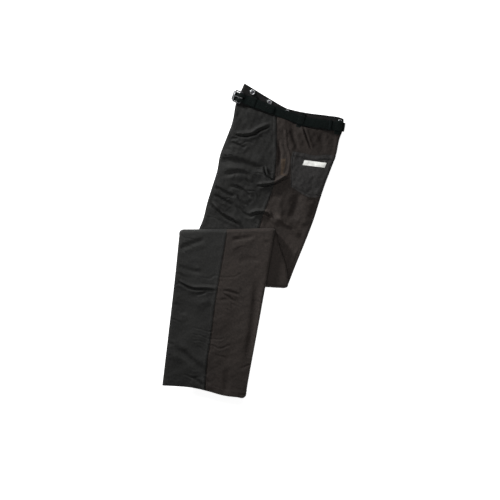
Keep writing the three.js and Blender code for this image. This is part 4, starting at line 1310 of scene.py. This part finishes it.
def tag(surface):
    half, rise, slant = 31.0, 6.5, 4.0
    corners = [(slant - half, rise), (half, rise), (-half, -rise), (half - slant, -rise)]

    def swell(x, y, q, f):
        inside = np.minimum(np.minimum(q, 1 - q) * 60, np.minimum(f, 1 - f) * 13)
        return 0.25 * smoothstep(0, 1.2, inside) - 0.2 * np.exp(-((inside - 1.8) / 0.4) ** 2)

    piece = laid_patch("woven_tag", four_sides(TAG_PLACE, corners), surface, 0.1, 0.45, (22, 60),
                       swell)
    give(piece, PALE, "woven_tag", "trousers", "pocket_tag")


MOUTH = [(86.5, 292), (88.5, 268), (89.5, 248), (96, 228), (98.5, 212), (96, 190), (91.5, 169)]
MOUTH_WIDTH = 14.0
FACING_LEFT = [(73, 212), (72.5, 190), (71, 170)]


def hand_pocket(surface):
    """The slanted mouth beside the side seam and the facing that shows in it."""
    facing = laid_patch("pocket_facing_left", (FACING_LEFT, [(95, 214), (94.5, 192), (90, 169)],
                        [(73, 212), (84, 213), (95, 214)], [(71, 170), (80, 169), (90, 169)]),
                        surface, 0.05, 0.35, (30, 16))
    give(facing, TAN, "back_cloth", "trousers", "hand_pocket_facing_left")

    def lip(x, y, q, f):
        return 1.2 * np.exp(-((q - 0.2) / 0.22) ** 2) - 0.35 * q

    right = offset_plan(MOUTH, -MOUTH_WIDTH)
    left = offset_plan(MOUTH, 0.0)
    sides = (left, right, [tuple(left[0]), tuple(right[0])], [tuple(left[-1]), tuple(right[-1])])
    edge = laid_patch("pocket_mouth_left", sides, surface, 0.3, 0.7, (60, 12), lip)
    give(edge, WARM, "back_cloth", "trousers")
    seam = offset_plan(MOUTH, -11.0)[2:-2]
    stitch_row("pocket_mouth_stitches", [seam], Surface(edge), "trousers", "back_cloth")


def hidden_pockets():
    bag = ([(-14, 318), (-6, 218), (30, 142)], [(90, 296), (98, 212), (91, 168)],
           [(-14, 318), (50, 312), (90, 296)], [(30, 142), (60, 140), (91, 168)])
    for side, z in (("left", 18.6), ("right", 8.6)):
        piece = flat_patch(f"pocket_bag_{side}", bag, z, 0.5, (40, 30), 61)
        lower_on_slope(piece, side)
        give(piece, LINING, "lining_cloth", "trousers", f"hand_pocket_bag_{side}")
    facing = ([(60, 308), (60, 176)], [(88, 298), (97, 212), (91, 170)], [(60, 308), (88, 298)],
              [(60, 176), (91, 170)])
    piece = flat_patch("pocket_facing_right", facing, 7.2, 0.5, (30, 12), 62)
    lower_on_slope(piece, "right")
    give(piece, TAN, "back_cloth", "trousers", "hand_pocket_facing_right")


SEAT_FALL = {"left": 9.6, "right": 5.2}


def lower_on_slope(piece, side):
    """Hidden cloth follows the seat where it comes down towards the legs."""
    for vertex in piece.data.vertices:
        plan_y = vertex.co.y / MM - SHIFT[1]
        vertex.co.z -= SEAT_FALL[side] * MM * float(1 - smoothstep(SEAT_RISE[0], SEAT_RISE[1], plan_y))


# ---- fly ---------------------------------------------------------------------------------

FLY_PLACE = ((36.5, 324.0), -16.4)
FLY_FOOT = -133.0
FLY_TOP = -4.0


def fly_strip(name, x0, x1, z, material, slot_name, node, seed):
    corners = [(x0, FLY_TOP), (x1, FLY_TOP), (x0, FLY_FOOT), (x1, FLY_FOOT)]
    piece = flat_patch(name, four_sides(FLY_PLACE, corners), z, 0.4, (30, 8), seed)
    give(piece, material, slot_name, "trousers", node)


def fly():
    fly_strip("tape_left", -18, 3, 16.6, LINING, "lining_cloth", "zipper_tape_left", 71)
    fly_strip("tape_right", -18, 3, 12.3, LINING, "lining_cloth", "zipper_tape_right", 72)
    fly_strip("facing_of_fly", -36, 0, 17.6, COOL, "front_cloth", "fly_facing", 73)
    fly_strip("shield_of_fly", -36, 2, 11.4, COOL, "front_cloth", "fly_shield", 74)
    for node in ("zipper_teeth_left", "zipper_teeth_right", "zipper_slider_front", "zipper_slider_back"):
        repaint(node, DARK)
    for node in ("zipper_bottom_stop", "zipper_pull", "waist_hook", "waist_bar"):
        repaint(node, BRIGHT)


def repaint(node, material):
    for material_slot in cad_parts[node].material_slots:
        material_slot.material = material


# ---- seams and hems ----------------------------------------------------------------------

SEAM_ROWS = (-1.6, -6.6)


def seam_stitches(panels):
    """Two rows beside the side seam, on the thigh and on the shin."""
    for name, part, body, seam, count, low, high in (
            ("thigh", "upper", "trousers", THIGH_SEAM, 90, 42, 311),
            ("shin", "lower", "shin_layer", SHIN_SEAM, 120, -383, 14)):
        line = [(x, y) for x, y in sample(seam, np.linspace(0, 1, count)) if low < y < high]
        pairs = [[(x + offset, y) for x, y in line] for offset in SEAM_ROWS]
        surface = Surface(panels[f"left_front_panel_{part}"])
        stitch_row(f"side_seam_stitches_{name}", pairs, surface, body, "front_cloth")


def hem_stitches(panels):
    """One row above the hem, which stops short of both creases and of the side seam."""
    both = evenly(np.array(HEM, float)[:-2] + (0, HEM_WIDTH), 3.2)
    x = both[:, 0]
    seam_x = float(across_at(SHIN_SEAM, -370))
    for panel, chosen in (("front", (x < seam_x - 1) & (x > -232)), ("back", (x > seam_x + 1) & (x < -24))):
        surface = Surface(panels[f"left_{panel}_panel_lower"])
        stitch_row(f"hem_stitches_{panel}", [both[chosen]], surface, "shin_layer", f"{panel}_cloth")


def band_stitches(piece):
    rows = [offset_plan(BAND_TOP, -4.0, 90)[2:-2], offset_plan(BAND_SEAM, 2.2, 90)[3:-3]]
    stitch_row("band_stitches", rows, Surface(piece), "trousers", "band_cloth")


def build_garment():
    panels = {}
    for side in ("left", "right"):
        for panel in ("front", "back"):
            for part in ("upper", "lower"):
                piece = leg_panel(side, panel, part)
                panels[piece.name] = piece
    bands = {side: waistband(side) for side in ("left", "right")}
    for side in ("left", "right"):
        band_lining(side)
    seat = Surface(panels["left_back_panel_upper"])
    pocket_top = rear_pocket(seat)
    far_pocket()
    tag(pocket_top)
    hand_pocket(seat)
    hidden_pockets()
    belt_strap()
    belt_eyelets()
    buckle()
    belt_slide()
    for name in LOOPS:
        belt_loop(name, "left")
        belt_loop(name, "right")
        loop_bartacks(name)
    for name in STUDS:
        stud(name, "left")
        stud(name, "right")
    fly()
    seam_stitches(panels)
    hem_stitches(panels)
    band_stitches(bands["left"])


build_garment()


# ---- stage -------------------------------------------------------------------------------

FLOOR_SIZE = 6.0
FLOOR_Z = -0.0006


def add_floor():
    corners = [(x * FLOOR_SIZE, y * FLOOR_SIZE, FLOOR_Z) for x, y in ((-1, -1), (1, -1), (1, 1), (-1, 1))]
    floor = build_mesh("floor", corners, [(0, 1, 2, 3)], smooth=False)
    material, _, shader = new_material("pale_floor")
    shader.inputs["Base Color"].default_value = (0.85, 0.85, 0.85, 1)
    shader.inputs["Roughness"].default_value = 0.9
    shader.inputs["Emission Color"].default_value = (1, 1, 1, 1)
    shader.inputs["Emission Strength"].default_value = 0.88
    floor.data.materials.append(material)


def add_light(name, location, target, size, power):
    data = bpy.data.lights.new(name, "AREA")
    data.size = size
    data.energy = power
    lamp = bpy.data.objects.new(name, data)
    lamp.visible_camera = False
    lamp.location = location
    direction = np.array(target) - np.array(location)
    lamp.rotation_euler = Vector(direction).to_track_quat("-Z", "Y").to_euler()
    bpy.context.scene.collection.objects.link(lamp)


VIEW_CENTRE = (-7.8, -24.7, 20.0)
VIEW_WIDTH = 1.3     # metres across the picture
LENS = 200.0
SENSOR = 36.0


def add_camera():
    """A long lens straight above the garment's middle."""
    centre = row(VIEW_CENTRE)
    data = bpy.data.cameras.new("camera")
    data.lens = LENS
    data.sensor_width = SENSOR
    data.clip_end = 50
    camera = bpy.data.objects.new("camera", data)
    camera.location = (centre[0], centre[1], centre[2] + VIEW_WIDTH * LENS / SENSOR)
    bpy.context.scene.collection.objects.link(camera)
    bpy.context.scene.camera = camera


# Where each light stands, where it points, its size and its power.
LIGHTS = {
    "key": ((-1.95, 2.5, 1.02), (0, -0.05, 0), 0.4, 208),
    "pool": ((-0.02, 0.0, 0.62), (0.0, 0.0, 0), 0.3, 2.4),
    "fill": ((1.6, -0.8, 1.9), (0, 0, 0), 2.0, 1.5),
}
SKY = 0.12


def add_stage():
    add_floor()
    add_camera()
    for name, setting in LIGHTS.items():
        add_light(name, *setting)
    world = bpy.data.worlds.new("studio")
    world.use_nodes = True
    background = world.node_tree.nodes["Background"]
    background.inputs["Color"].default_value = (1, 1, 1, 1)
    background.inputs["Strength"].default_value = SKY
    bpy.context.scene.world = world
    bpy.context.scene.view_settings.view_transform = "Standard"


add_stage()
